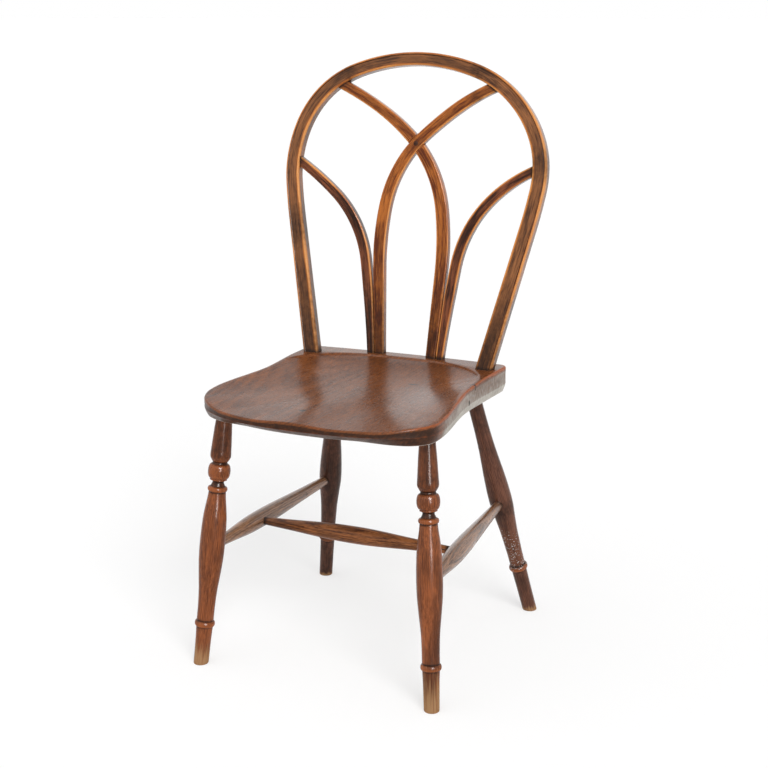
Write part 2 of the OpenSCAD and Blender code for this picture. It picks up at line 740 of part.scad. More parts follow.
// Arcs: the plane that they share rises from the seat to the middle of the hoop's thickness
arc_y = seat_set_back - arc_in;
function hoop_landing(lands) =
    let(
        edge = bent(hoop_bend_2, shoulder_r, -(hoop_bend_2[2] + lands)),
        inner = ring_point(edge, [-hoop_w(edge), hoop_t / 2], 0)
    )
    inner;
function hoop_to_chair(p) = [
    p.x,
    hoop_y + p.y * cos(hoop_rake) + p.z * sin(hoop_rake),
    p.z * cos(hoop_rake) - p.y * sin(hoop_rake)
];
long_landing = hoop_to_chair(hoop_landing(long_landing_angle));
landing_back = long_landing.y - arc_y;
landing_far = norm([landing_back, long_landing.z]);
arc_rake = atan2(landing_back, long_landing.z) - asin(arc_t / 2 / landing_far);
function chair_to_arc(p) = [
    p.x,
    (p.y - arc_y) * cos(arc_rake) - p.z * sin(arc_rake),
    (p.y - arc_y) * sin(arc_rake) + p.z * cos(arc_rake)
];
function arc_to_hoop(p) =
    let(
        y = arc_y - hoop_y + p.y * cos(arc_rake) + p.z * sin(arc_rake),
        z = p.z * cos(arc_rake) - p.y * sin(arc_rake)
    )
    [p.x, y * cos(hoop_rake) - z * sin(hoop_rake), y * sin(hoop_rake) + z * cos(hoop_rake)];
function arc_way_to_hoop(p) = arc_to_hoop(p) - arc_to_hoop([0, 0, 0]);
module in_arc_plane() {
    translate([0, arc_y, seat_height])
        rotate([-arc_rake, 0, 0])
            children();
}

// Centre line of a long arc that stands on the right and lands on the left
long_tip = let(p = chair_to_arc(long_landing)) [-p.x, p.z];
long_start = [long_feet / 2, 0, long_lean, 0];
long_bend_1 = went(long_start, long_straight);
long_bend_2 = bent(long_bend_1, long_ease_r, -long_ease_turn);
long_bend_3 = bent(long_bend_2, long_bend_r, -long_bend_turn);
long_stations = concat(
    [long_start],
    straight_stations(long_start, long_straight, 3),
    bend_stations(long_bend_1, long_ease_r, -long_ease_turn, 5),
    bend_stations(long_bend_2, long_bend_r, -long_bend_turn, 14),
    last_bend(long_bend_3, long_tip, 8)
);
long_l = long_stations[len(long_stations) - 1][3];
function long_w(s) = lookup(
    s[3] / long_l,
    [[0, long_foot_w], [0.35, long_mid_w], [0.62, long_upper_w], [1, long_tip_w]]
);

// Centre line of a short arc that stands and lands on the right, before it is mirrored
short_landing = chair_to_arc(hoop_to_chair(hoop_landing(short_landing_angle)));
short_tip = [short_landing.x, short_landing.z];
short_start = [short_feet / 2, 0, short_lean, 0];
short_bend_1 = bent(short_start, short_ease_r, short_ease_turn);
function short_bends(r, turn) = concat(
    [short_start],
    bend_stations(short_start, short_ease_r, short_ease_turn, 5),
    bend_stations(short_bend_1, r, turn, 14),
    last_bend(bent(short_bend_1, r, turn), short_tip, 7)
);
// The left one is bent more sharply. side is -1 for the left
function short_stations(side) =
    side < 0 ? short_bends(left_bend_r, left_bend_turn) : short_bends(short_bend_r, short_bend_turn);
function short_w(share) = lookup(
    share,
    [[0, short_foot_w], [0.3, short_mid_w - 0.3], [0.6, short_mid_w], [1, short_tip_w]]
);

// The short arcs leave the plane and bend forward to the middle of the hoop's thickness
forward_total = arc_t / 2 - short_landing.y;
forward_span = short_landing.z - short_forward_from;
function forward(up) = forward_total * pow(max(0, up - short_forward_from) / forward_span, 2);
function brought_forward(p) = [p.x, p.y - forward(p.z), p.z];
short_forward_way = 2 * forward_total / forward_span;

// The tip of an arc is coped to the inner edge of the hoop, which is an arc of the shoulder there
function hoop_normal(lands, side) = [side * cos(lands), 0, sin(lands)];
function cope_run(p, way, landing, lands, side) =
    let(
        out = hoop_normal(lands, side),
        at = arc_to_hoop(p) - landing,
        on = arc_way_to_hoop(way),
        flat_run = -(out * at) / (out * on),
        beside = norm([at.x + flat_run * on.x, at.z + flat_run * on.z]),
        inner_r = shoulder_r - hoop_shoulder_w
    )
    flat_run - (pow(beside, 2) / (2 * inner_r) + 1.5 * seat_gap) / (out * on);
function tip_way(s, slope) = [sin(s[2]), -slope * cos(s[2]), cos(s[2])];

long_end = long_stations[len(long_stations) - 1];
long_end_way = tip_way(long_end, 0);
long_end_middle = [long_end[0], arc_t / 2, long_end[1]];
long_hoop_landing = let(p = hoop_landing(long_landing_angle)) [-p.x, p.y, p.z];
function short_end(side) = let(line = short_stations(side)) line[len(line) - 1];
function short_end_way(side) = tip_way(short_end(side), short_forward_way);
short_end_middle = brought_forward([short_tip[0], arc_t / 2, short_tip[1]]);

function coped_ring(ring, way, landing, lands, side) =
    [for (p = ring) p + way * cope_run(p, way, landing, lands, side)];
function arc_section(w) = rounded(-w / 2, w / 2, arc_t, arc_arris);
long_rings = let(last = len(long_stations) - 1) [
    foot_ring(long_start, arc_section(long_w(long_start)), arc_rake),
    for (i = [1:last - 1]) ring_at(long_stations[i], arc_section(long_w(long_stations[i]))),
    coped_ring(
        ring_at(long_end, arc_section(long_w(long_end))), long_end_way, long_hoop_landing,
        long_landing_angle, -1
    )
];
function short_ring(s, share) = [for (p = ring_at(s, arc_section(short_w(share)))) brought_forward(p)];
function short_rings(side) = let(line = short_stations(side), last = len(line) - 1) [
    foot_ring(short_start, arc_section(short_w(0)), arc_rake),
    for (i = [1:last - 1]) short_ring(line[i], line[i][3] / line[last][3]),
    coped_ring(
        short_ring(line[last], 1), short_end_way(side), hoop_landing(short_landing_angle),
        short_landing_angle, 1
    )
];

// Round tenons at the feet and the tips of the arcs, and their sockets where grow is above 0
bury = 6;
module arc_foot_tenon(start, grow) {
    way = [sin(start[2]), 0, cos(start[2])];
    middle = [start[0], arc_t / 2, start[1]];
    deep = arc_foot_tenon + 2 * grow;
    along(middle + way * bury, middle - way * deep)
        cylinder(h = deep + bury, d = arc_foot_d + 2 * grow);
}
module arc_tip_tenon(middle, way, grow) {
    long = norm(way);
    deep = arc_tip_tenon + 2 * grow;
    along(middle - way / long * bury, middle + way / long * deep)
        cylinder(h = deep + bury, d = arc_tip_d + 2 * grow);
}
module long_tip_tenon(side, grow) {
    translate([-side * long_rack_at(long_end_middle.z), 0, 0])
        arc_tip_tenon(long_end_middle, long_end_way, grow);
}
module short_tip_tenon(side, grow) {
    arc_tip_tenon(short_end_middle, short_end_way(side), grow);
}

// The halved crossing: the outline of one long arc, by which half the thickness of the other is cut
lap_gap = 0.1;
cut_spare = 1;
crossing_stations = [for (s = long_stations) if (abs(s[0]) < 2.6 * long_mid_w && s[2] < -20) s];
crossing_up = let(pairs = [for (s = crossing_stations) [-s[0], s[1]]]) lookup(0, pairs);
function crossing_edge(share, grow) = [for (s = crossing_stations)
    let(p = ring_point(s, [share * (long_w(s) / 2 + grow), 0], 0))
    [p.x, p.z]];
module crossing_cut(from, to) {
    edge = crossing_edge(1, lap_gap);
    other = crossing_edge(-1, lap_gap);
    translate([0, to, 0])
        rotate([90, 0, 0])
            linear_extrude(to - from)
                mirror([1, 0, 0])
                    polygon(concat(edge, [for (i = [len(other) - 1:-1:0]) other[i]]));
}

// Above the crossing a long arc leans with the hoop in which it lands
rack_clear = 18;
long_rack_from = crossing_up + rack_clear;
long_rack_to = long_tip[1] - rack_clear / 2;
function long_rack_at(z) =
    rack_at(z, arc_rake) * eased((z - long_rack_from) / (long_rack_to - long_rack_from));
function racked_long(ring, side) = [for (p = ring) [p.x - side * long_rack_at(p.z), p.y, p.z]];

// side is where the arc stands: the left one passes in front at the crossing
module long_arc(side) {
    cut_from = side < 0 ? arc_t / 2 - lap_gap / 2 : -cut_spare;
    cut_to = side < 0 ? arc_t + cut_spare : arc_t / 2 + lap_gap / 2;
    color(arc_brown)
        stand()
            in_arc_plane()
                on_side(side)
                    difference() {
                        union() {
                            skin([for (ring = long_rings) racked_long(ring, side)]);
                            arc_foot_tenon(long_start, 0);
                            long_tip_tenon(side, 0);
                        }
                        crossing_cut(cut_from, cut_to);
                        translate([0, -cut_spare, crossing_up])
                            rotate([-90, 0, 0])
                                cylinder(h = arc_t + 2 * cut_spare, d = pin_d + 2 * socket_gap);
                    }
}
module short_arc(side) {
    color(short_brown)
        stand()
            in_arc_plane()
                on_side(side) {
                    skin(short_rings(side));
                    arc_foot_tenon(short_start, 0);
                    short_tip_tenon(side, 0);
                }
}
module crossing_pin() {
    color(pin_black)
        stand()
            in_arc_plane()
                translate([0, -pin_proud, crossing_up])
                    rotate([-90, 0, 0])
                        cylinder(h = arc_t + pin_proud, d = pin_d);
}

module hoop() {
    last = len(hoop_stations) - 1;
    rings = [
        foot_ring(hoop_stations[0], hoop_outline(hoop_stations[0]), hoop_rake),
        for (i = [1:last - 1]) ring_at(hoop_stations[i], hoop_outline(hoop_stations[i])),
        foot_ring(hoop_stations[last], hoop_outline(hoop_stations[last]), hoop_rake)
    ];
    color(hoop_brown)
        stand()
            difference() {
                union() {
                    in_hoop_plane()
                        skin([for (ring = rings) racked_hoop(ring)]);
                    for (side = [-1, 1])
                        on_side(side)
                            hoop_tenon_axis()
                                cylinder(h = hoop_tenon_l, d = hoop_tenon_d);
                }
                below(seat_bottom);
                for (side = [-1, 1])
                    on_side(side) {
                        wedge_form(lap_gap);
                        in_arc_plane() {
                            long_tip_tenon(side, socket_gap);
                            short_tip_tenon(side, socket_gap);
                        }
                    }
            }
}
module hoop_wedges() {
    color(wedge_pale)
        stand()
            for (side = [-1, 1])
                on_side(side)
                    difference() {
                        wedge_form(0);
                        below(seat_bottom);
                    }
}

module seat() {
    color(elm)
        stand()
            difference() {
                seat_blank();
                for (side = [-1, 1])
                    on_side(side) {
                        along(front_top, front_foot)
                            translate([0, 0, -front_tenon - 2 * seat_gap])
                                cylinder(h = front_tenon + leg_top_d, d = leg_tenon_d + 2 * socket_gap);
                        along(rear_top, rear_foot)
                            translate([0, 0, -rear_tenon - 2 * seat_gap])
                                cylinder(h = rear_tenon + leg_top_d, d = leg_tenon_d + 2 * socket_gap);
                        hoop_tenon_axis()
                            cylinder(h = hoop_tenon_l, d = hoop_tenon_d + 2 * socket_gap);
                        in_arc_plane() {
                            arc_foot_tenon(long_start, socket_gap);
                            arc_foot_tenon(short_start, socket_gap);
                        }
                    }
            }
}

seat();
hoop();
hoop_wedges();
long_arc(-1);  // long_arc_left
long_arc(1);  // long_arc_right
short_arc(-1);  // short_arc_left
short_arc(1);  // short_arc_right
crossing_pin();
front_leg(-1);  // leg_front_left
front_leg(1);  // leg_front_right
rear_leg(-1);  // leg_rear_left
rear_leg(1);  // leg_rear_right
side_stretcher(-1);  // side_stretcher_left
side_stretcher(1);  // side_stretcher_right
cross_stretcher();
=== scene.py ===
"""Hoop back chair: the pieces that show, with their finishes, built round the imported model.

Metres, +Z up. The chair faces -Y, and left and right are as seen from its front, so left is -X.
Shapes are worked out with y measured from the middle of the four feet, and then moved to the origin.
"""

import math

import bmesh
import bpy
from mathutils import Matrix, Vector, noise


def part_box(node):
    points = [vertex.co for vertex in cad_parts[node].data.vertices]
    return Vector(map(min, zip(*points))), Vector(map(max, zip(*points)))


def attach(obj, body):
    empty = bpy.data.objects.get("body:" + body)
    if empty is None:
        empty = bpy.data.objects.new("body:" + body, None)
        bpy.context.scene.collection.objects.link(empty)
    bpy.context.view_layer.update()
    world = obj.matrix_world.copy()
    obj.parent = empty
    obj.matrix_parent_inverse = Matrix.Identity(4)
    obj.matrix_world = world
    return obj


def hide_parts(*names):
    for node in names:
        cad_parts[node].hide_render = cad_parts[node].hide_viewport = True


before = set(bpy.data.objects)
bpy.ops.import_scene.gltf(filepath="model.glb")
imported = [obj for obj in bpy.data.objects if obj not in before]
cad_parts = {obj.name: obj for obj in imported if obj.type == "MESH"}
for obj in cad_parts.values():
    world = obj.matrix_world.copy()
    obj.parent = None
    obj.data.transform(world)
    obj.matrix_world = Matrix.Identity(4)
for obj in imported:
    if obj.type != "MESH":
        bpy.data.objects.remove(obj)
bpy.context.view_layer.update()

bl_info = {
    "name": "Hoop Back Chair",
    "version": (1, 0, 0),
    "blender": (4, 5, 0),
    "location": "View3D > Sidebar > Chair",
    "description": "Builds a hoop back chair from its sizes and finishes",
    "category": "Add Mesh",
}

MM = 0.001
SIDES = {"left": -1, "right": 1}
seat_low, seat_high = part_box("seat")


# Settings
def size(name, millimetres, description):
    return bpy.props.FloatProperty(
        name=name, description=description, default=millimetres * MM, min=0, precision=4,
        subtype="DISTANCE", unit="LENGTH",
    )


def turn(name, degrees, description):
    return bpy.props.FloatProperty(
        name=name, description=description, default=math.radians(degrees),
        subtype="ANGLE", unit="ROTATION",
    )


def number(name, value, description):
    return bpy.props.FloatProperty(name=name, description=description, default=value, min=0)


def linear(code):
    channels = [int(code[i:i + 2], 16) / 255 for i in (1, 3, 5)]
    return tuple(c / 12.92 if c <= 0.04045 else ((c + 0.055) / 1.055) ** 2.4 for c in channels)


def tint(name, code, description):
    return bpy.props.FloatVectorProperty(
        name=name, description=description, default=linear(code), size=3, min=0, max=1,
        subtype="COLOR",
    )


class SeatSizes(bpy.types.PropertyGroup):
    """Sizes of the saddled plank."""

    height: size("Height", seat_high.z / MM, "Height of the flat deck above the floor")
    thickness: size("Thickness", (seat_high.z - seat_low.z) / MM, "Thickness under the deck")
    depth: size("Depth", (seat_high.y - seat_low.y) / MM, "Depth from the front edge to the rear edge")
    set_back: size("Set back", 139.5, "Distance of the rear edge behind the middle of the feet")
    front_w: size("Front width", (seat_high.x - seat_low.x) / MM, "Width across the front corners")
    waist_w: size("Waist width", 347, "Width at the waist")
    back_w: size("Back width", 352, "Width across the back corners")
    waist_at: size("Waist place", 150, "Distance from the rear edge to the waist")
    front_round: size("Front round", 81, "Depth of the rounded front at the right corner")
    left_round: size("Left round", 122, "Depth of the rounded front at the left corner")
    front_square: number("Front squareness", 2.25, "Squareness of the rounded front, 2 for an ellipse")
    rear_bow: size("Rear bow", 8, "Bow of the rear edge")
    corner_r: size("Corner radius", 14, "Radius of the rear corners")
    chamfer_h: size("Chamfer height", 13, "Height of the chamfer round the underside")
    chamfer_side: size("Side chamfer run", 4, "Run of that chamfer along the sides")
    chamfer_back: size("Back chamfer run", 10, "Run of that chamfer along the back")
    chamfer_front: size("Front chamfer run", 27, "Run of that chamfer under the front edge")
    chamfer_spread: size("Chamfer spread", 110, "Distance over which the chamfer widens")
    arris_r: size("Arris", 2.4, "Radius of the worn upper arris")
    deck: size("Deck", 31.5, "Width of the flat deck at the middle of the back")
    crease_sweep: size("Crease sweep", 93, "How far the crease sweeps forward at the sides")
    crease_drop: size("Crease drop", 3, "Drop at the crease")
    bowl: size("Bowl", 16, "Depth of the bowl below the deck")
    thigh: size("Thigh hollows", 18.5, "Depth of the front edge below the deck")
    edge_fall: size("Edge fall", 12.5, "Fall of the side edges to the front corners")
    fall_from: size("Fall from", 90, "Distance from the rear edge to where the side edges fall")
    thigh_run: size("Thigh run", 75, "Distance over which the front edge falls to the hollows")
    pommel_h: size("Pommel height", 3.5, "Height of the pommel")
    pommel_w: size("Pommel width", 140, "Width of the pommel")
    pommel_l: size("Pommel length", 250, "Length of the pommel behind the front edge")


class LegSizes(bpy.types.PropertyGroup):
    """Sizes of the turned legs."""

    depth: size("Feet depth", 422, "Distance from the front feet to the rear feet")
    front_side: size("Front side", 28.5, "Front legs in from the front corners of the seat")
    rear_side: size("Rear side", 54.5, "Rear legs in from the back corners of the seat")
    front_in: size("Front in", 103.5, "Front legs behind the front edge of the seat")
    rear_in: size("Rear in", 28.5, "Rear legs before the rear edge of the seat")
    front_splay: size("Front splay", 29, "How far a front foot stands out from its top")
    rear_splay: size("Rear splay", 73, "How far a rear foot stands out from its top")
    foot_d: size("Foot", 23, "Diameter of the feet")
    ring_d: size("Foot ring", 31.3, "Diameter of the foot rings")
    ring_h: size("Foot ring height", 9, "Height of a foot ring")
    front_ring_at: size("Front ring place", 65.5, "Distance of the front foot rings up the leg")
    rear_ring_at: size("Rear ring place", 86, "Distance of the rear foot rings up the leg")
    front_waist_d: size("Front waist", 26.3, "Slim diameter of the front legs")
    rear_waist_d: size("Rear waist", 25.2, "Slim diameter of the rear legs")
    front_swell_d: size("Front swell", 38.7, "Greatest diameter of the front legs")
    rear_swell_d: size("Rear swell", 37.5, "Greatest diameter of the rear legs")
    front_swell_at: size("Front swell place", 198, "Distance of the front swell up the leg")
    rear_swell_at: size("Rear swell place", 219, "Distance of the rear swell up the leg")
    ball_d: size("Ball", 34.4, "Diameter of the ball")
    ball_h: size("Ball height", 22, "Height of the ball")
    ball_drop: size("Ball place", 95, "Distance of the ball below the seat")
    bead_d: size("Bead", 30.4, "Diameter of the bead")
    bead_h: size("Bead height", 7, "Height of the bead")
    bead_drop: size("Bead place", 28, "Distance of the bead below the ball")
    cove_d: size("Cove", 17.5, "Diameter of the cove between the bead and the ball")
    neck_d: size("Neck", 22.5, "Diameter of the neck above the ball")
    neck_rise: size("Neck place", 14, "Distance of the neck above the ball")
    vase_d: size("Vase", 31.5, "Diameter of the shoulder of the vase")
    top_d: size("Top", 24, "Diameter of the legs where they enter the seat")


class StretcherSizes(bpy.types.PropertyGroup):
    """Sizes of the three stretchers."""

    front_z: size("Front height", 187, "Height of the side stretchers at the front legs")
    rear_z: size("Rear height", 201, "Height of the side stretchers at the rear legs")
    side_end_d: size("Side ends", 15.5, "Diameter of the ends of the side stretchers")
    side_swell_d: size("Side swell", 28.5, "Greatest diameter of the side stretchers")
    cross_share: number("Cross place", 0.36, "Share of the side stretchers before the cross stretcher")
    cross_end_d: size("Cross ends", 12.5, "Diameter of the ends of the cross stretcher")
    cross_swell_d: size("Cross swell", 27.3, "Greatest diameter of the cross stretcher")
    bury: size("Bury", 5, "How far their ends run into the pieces that hold them")


class HoopSizes(bpy.types.PropertyGroup):
    """Sizes of the bent hoop."""

    feet_w: size("Feet", 331, "Width of the hoop over its feet")
    set_in: size("Set in", 58, "Distance of its front face before the rear edge of the seat")
    rake: turn("Rake", 11.8, "Backward rake")
    lean: turn("Lean", 12.4, "Outward lean of the legs of the hoop")
    straight: size("Straight", 226, "Length of the straight legs")
    waist_r: size("Waist radius", 840, "Radius of the slight bend above them")
    waist_turn: turn("Waist turn", 4.1, "Turn of that bend")
    shoulder_r: size("Shoulder radius", 179, "Outer radius of the shoulders")
    shoulder_turn: turn("Shoulder turn", 78.5, "Turn of the shoulders")
    foot_w: size("Width at the feet", 26.6, "Width of the hoop at its feet")
    shoulder_w: size("Width at the shoulders", 22, "Width of the hoop at its shoulders")
    crown_w: size("Width at the crown", 20.9, "Width of the hoop at its crown")
    thick: size("Thickness", 17.8, "Thickness from front to back")
    arris: size("Arris", 3, "Radius of the rounded arrises")
    rack: size("Rack", 6.4, "How far the crown of the hoop leans to the left")
    rack_from: size("Rack from", 312, "Height above the seat where that lean starts")
    rack_to: size("Rack to", 463, "Height above the seat where it is full")
    bead_w: size("Bead", 3.4, "Width of the bead along the outer edge")
    groove: size("Groove", 0.7, "Depth of the groove beside the bead")
    tenon_d: size("Tenon", 14.5, "Diameter of the tenons through the seat")
    wedge_t: size("Wedge", 3.2, "Thickness of the wedges")
    proud: size("Proud", 0.35, "How far the tenons and wedges stand out of the underside")


class ArcSizes(bpy.types.PropertyGroup):
    """Sizes of the bent arcs inside the hoop, and of the pin where they cross."""

    set_in: size("Set in", 20, "Distance of their front faces before the rear edge of the seat")
    thick: size("Thickness", 13, "Thickness from front to back")
    arris: size("Arris", 2.4, "Radius of the rounded arrises")
    long_feet: size("Long feet", 91, "Spread of the feet of the long arcs")
    long_lean: turn("Long lean", 3.7, "Outward lean of the long arcs at the seat")
    long_straight: size("Long straight", 139, "Length of their straight feet")
    long_ease_r: size("Long ease radius", 450, "Radius of their first bend")
    long_ease_turn: turn("Long ease turn", 13, "Turn of their first bend")
    long_bend_r: size("Long bend radius", 199, "Radius of their main bend")
    long_bend_turn: turn("Long bend turn", 37.6, "Turn of their main bend")
    long_landing: turn("Long landing", 58.5, "Lean of the hoop where they meet it")
    long_foot_w: size("Long foot width", 16.8, "Width of the long arcs at the seat")
    long_mid_w: size("Long width", 20.8, "Greatest width of the long arcs")
    long_upper_w: size("Long upper width", 19.6, "Width of the long arcs below the crossing")
    long_tip_w: size("Long tip width", 16.6, "Width of the long arcs at the hoop")
    rack_clear: size("Rack clear", 18, "Distance above the crossing where they start to lean")
    short_feet: size("Short feet", 122.2, "Spread of the feet of the short arcs")
    short_lean: turn("Short lean", 4.6, "Outward lean of the short arcs at the seat")
    short_ease_r: size("Short ease radius", 1890, "Radius of their first bend")
    short_ease_turn: turn("Short ease turn", 4.6, "Turn of their first bend")
    short_bend_r: size("Short bend radius", 196, "Radius of the main bend of the right one")
    short_bend_turn: turn("Short bend turn", 34.6, "Turn of that bend")
    left_bend_r: size("Left bend radius", 183, "Radius of the main bend of the left one")
    left_bend_turn: turn("Left bend turn", 39.2, "Turn of that bend")
    short_landing: turn("Short landing", 2.6, "Lean of the hoop where they meet it")
    forward_from: size("Forward from", 110, "Height from which the short arcs bend forward")
    short_foot_w: size("Short foot width", 12.6, "Width of the short arcs at the seat")
    short_mid_w: size("Short width", 17.4, "Greatest width of the short arcs")
    short_tip_w: size("Short tip width", 15, "Width of the short arcs at the hoop")
    lap_gap: size("Lap gap", 0.15, "Gap round the halved crossing")
    pin_d: size("Pin", 7.5, "Diameter of the pin through the crossing")
    pin_proud: size("Pin head", 0.5, "How far the head of the pin stands out")


class Tints(bpy.types.PropertyGroup):
    """Colours of the woods and of what wear has left on them, some of which also paint highlights, sheen and
    shade.
    """

    seat_dark: tint("Seat dark", "#4c2a19", "Dark grain of the seat")
    seat_light: tint("Seat light", "#8a5029", "Light grain of the seat")
    hoop_dark: tint("Hoop dark", "#422a1e", "Dark stain of the hoop")
    hoop_light: tint("Hoop light", "#9c653d", "Light grain of the hoop")
    long_dark: tint("Long arc dark", "#5e2a12", "Dark grain of the long arcs")
    long_light: tint("Long arc light", "#ba6c2e", "Light grain of the long arcs")
    short_dark: tint("Short arc dark", "#2e1911", "Dark stain of the short arcs")
    short_light: tint("Short arc light", "#8c5032", "Light grain of the short arcs")
    leg_dark: tint("Leg dark", "#42200f", "Dark grain of the front legs")
    leg_light: tint("Leg light", "#ae6236", "Light grain of the front legs")
    # The rear legs' tints are darker than the front legs' partly as painted shade.
    rear_dark: tint("Rear leg dark", "#3a2219", "Dark grain of the rear legs")
    rear_light: tint("Rear leg light", "#84543f", "Light grain of the rear legs")
    side_dark: tint("Side stretcher dark", "#3c2419", "Dark grain of the side stretchers")
    side_light: tint("Side stretcher light", "#a47552", "Worn grey-brown of the side stretchers")
    cross_dark: tint("Cross stretcher dark", "#43220f", "Dark grain of the cross stretcher")
    cross_light: tint("Cross stretcher light", "#a06236", "Light grain of the cross stretcher")
    pin_dark: tint("Pin dark", "#2a1a14", "Dark end grain of the pin")
    pin_light: tint("Pin light", "#4f3024", "Light end grain of the pin")
    # Painted highlight: the golden worn colour stands both for bare wood and for the light caught along the
    # most worn arrises.
    worn: tint("Worn arris", "#dc9450", "Golden wood where the varnish has worn off an arris")
    worn_red: tint("Worn edge", "#b4642a", "Orange wood where the varnish has thinned")
    worn_seat: tint("Worn seat edge", "#a4572f", "Red wood where the seat's arris is rubbed")
    worn_leg: tint("Worn turning", "#a65c30", "Warm wood on the rubbed turnings")
    bare: tint("Bare wood", "#ad8862", "Raw wood at the feet")
    # The pale dust colour paints the dry underside, and on the seat's right side also a painted sheen.
    dust_and_sheen: tint("Underside", "#cbc6bd", "Dry grey wood of the underside")
    dust_dark: tint("Underside dark", "#756d66", "Dark streaks in that wood")
    grime: tint("Grime", "#1e130d", "Old grime in corners and pores")
    # Painted shade as well as grime: this colour also darkens whole legs and a stretcher, the tops of the
    # legs, the seat's front and the back of its bowl.
    fleck: tint("Fleck", "#dcdcd8", "Flecks of old white paint")


class StudioSizes(bpy.types.PropertyGroup):
    """Camera, lamps and floor."""

    azimuth: turn("Azimuth", 25.123, "Camera round from the front")
    elevation: turn("Elevation", 13.888, "Camera above the horizon")
    distance: size("Distance", 2357.3, "Camera from the middle of the view")
    middle_x: size("Middle x", 5.54, "Middle of the view to the right")
    middle_y: size("Middle y", 55.45, "Middle of the view behind the origin")
    middle_z: size("Middle z", 413.75, "Height of the middle of the view")
    lens: number("Lens", 70.03, "Focal length on a 36 mm sensor")
    floor: tint("Floor", "#fbfbfb", "Colour of the floor")
    floor_glow: number("Floor glow", 0.55, "Share of plain white in the floor as the camera sees it")
    sky: number("Sky", 0.54, "Strength of the sky on the chair")


# Blends
def mix(a, b, t):
    return a + (b - a) * t


def held(t):
    return max(0.0, min(1.0, t))


def eased(t):
    h = held(t)
    return h * h * (3 - 2 * h)


def lookup(x, table):
    """The value at x on straight lines through the table's pairs."""
    for (x0, y0), (x1, y1) in zip(table, table[1:]):
        if x <= x1:
            return mix(y0, y1, held((x - x0) / (x1 - x0)))
    return table[-1][1]


def near(distance, reach):
    """1 at no distance, falling off over reach."""
    return math.exp(-((distance / reach) ** 2))


def stand_shift(scene):
    """How far the middle of the feet lies behind the origin, under the middle of the chair's box."""
    seat, legs = scene.chair_seat, scene.chair_legs
    return -(seat.set_back - seat.depth + legs.depth / 2 + legs.foot_d / 2) / 2


# Meshes
MARKS = ("worn", "grime", "bare", "under", "sheen")
# Faces that meet at more than this angle keep a sharp edge
TRUE_CORNER = math.radians(38)


class Skin:
    """Rings of points closed at both ends, with what the finishes read at each point."""

    def __init__(self):
        self.rings, self.wood, self.marks = [], [], {key: [] for key in MARKS}

    def add(self, ring, wood, **marks):
        """Adds a ring. wood holds the places of its points in the log that the piece was cut from.

        A mark is one number for the ring, or a list with one for each point, and 0 if left out.
        """
        self.rings.append(ring)
        self.wood += wood
        for key in MARKS:
            value = marks.get(key, 0.0)
            self.marks[key] += value if isinstance(value, list) else [value] * len(ring)


def placed(scene, name, data):
    """A new object of the scene that holds the data."""
    made = bpy.data.objects.new(name, data)
    scene.collection.objects.link(made)
    return made


def square_to(way):
    """Two directions square to way and to each other."""
    across = way.cross(Vector((0, 1, 0))).normalized()
    return across, way.cross(across)


def circle(count):
    """The cosine and the sine at each of so many even steps round."""
    return [(math.cos(2 * math.pi * k / count), math.sin(2 * math.pi * k / count)) for k in range(count)]


def solid(scene, name, skins):
    """An object closed over lists of rings, moved from the middle of the feet to the origin."""
    points, faces = [], []
    for rings in skins:
        first, count = len(points), len(rings[0])
        points += [p for ring in rings for p in ring]
        last = len(points) - count
        for low in range(first, last, count):
            faces += [
                (low + j, low + (j + 1) % count, low + count + (j + 1) % count, low + count + j)
                for j in range(count)
            ]
        faces.append(tuple(range(first + count - 1, first - 1, -1)))
        faces.append(tuple(range(last, last + count)))
    mesh = bpy.data.meshes.new(name)
    shift = Vector((0, stand_shift(scene), 0))
    mesh.from_pydata([Vector(p) + shift for p in points], [], faces)
    work = bmesh.new()
    work.from_mesh(mesh)
    bmesh.ops.recalc_face_normals(work, faces=work.faces)
    work.to_mesh(mesh)
    work.free()
    mesh.polygons.foreach_set("use_smooth", [True] * len(mesh.polygons))
    mesh.set_sharp_from_angle(angle=TRUE_CORNER)
    mesh.update()
    return placed(scene, name, mesh)


def make_piece(scene, name, skins, finish):
    """A piece of one or more skins, which stands for the node of its name in small letters."""
    piece = solid(scene, name, [skin.rings for skin in skins])
    mesh = piece.data
    log = mesh.attributes.new("wood", "FLOAT_VECTOR", "POINT")
    log.data.foreach_set("vector", [c for skin in skins for place in skin.wood for c in place])
    for key in MARKS:
        kept = mesh.attributes.new(key, "FLOAT", "POINT")
        kept.data.foreach_set("value", [value for skin in skins for value in skin.marks[key]])
    mesh.materials.append(finish)
    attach(piece, "root")
    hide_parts(name.lower())
    return piece


# Turned pieces
def curve(marks, steps=8):
    """Smooth run through (distance, diameter) marks, with slopes taken from their neighbours."""
    def slope(i):
        low, high = marks[max(i - 1, 0)], marks[min(i + 1, len(marks) - 1)]
        return (high[1] - low[1]) / (high[0] - low[0])

    out = []
    for i in range(len(marks) - 1):
        run = marks[i + 1][0] - marks[i][0]
        for j in range(steps):
            t = j / steps
            bulge = slope(i) * run * t * (1 - t) ** 2 - slope(i + 1) * run * t * t * (1 - t)
            width = mix(marks[i][1], marks[i + 1][1], t * t * (3 - 2 * t)) + bulge
            out.append((marks[i][0] + run * t, width))
    return out + [marks[-1]]


def bead(middle, height, root, top):
    """A half-round bead, from its lower to its upper edge."""
    steps = 14
    return [
        (
            middle - height / 2 * math.cos(math.pi * i / steps),
            root + (top - root) * math.sin(math.pi * i / steps),
        )
        for i in range(steps + 1)
    ]


def swelling(start, end, slim, fat, shares):
    """Marks at shares of the way from start to end, as wide as shares of the way from slim to fat."""
    return [(mix(start, end, a), mix(slim, fat, b)) for a, b in shares]


def foot_marks(legs, ring_at, waist_d):
    return curve([
        (0, legs.foot_d),
        (ring_at * 0.6, mix(legs.foot_d, waist_d, 0.4)),
        (ring_at - legs.ring_h / 2 - 0.1 * MM, waist_d - 0.3 * MM),
    ]) + bead(ring_at, legs.ring_h, waist_d, legs.ring_d)


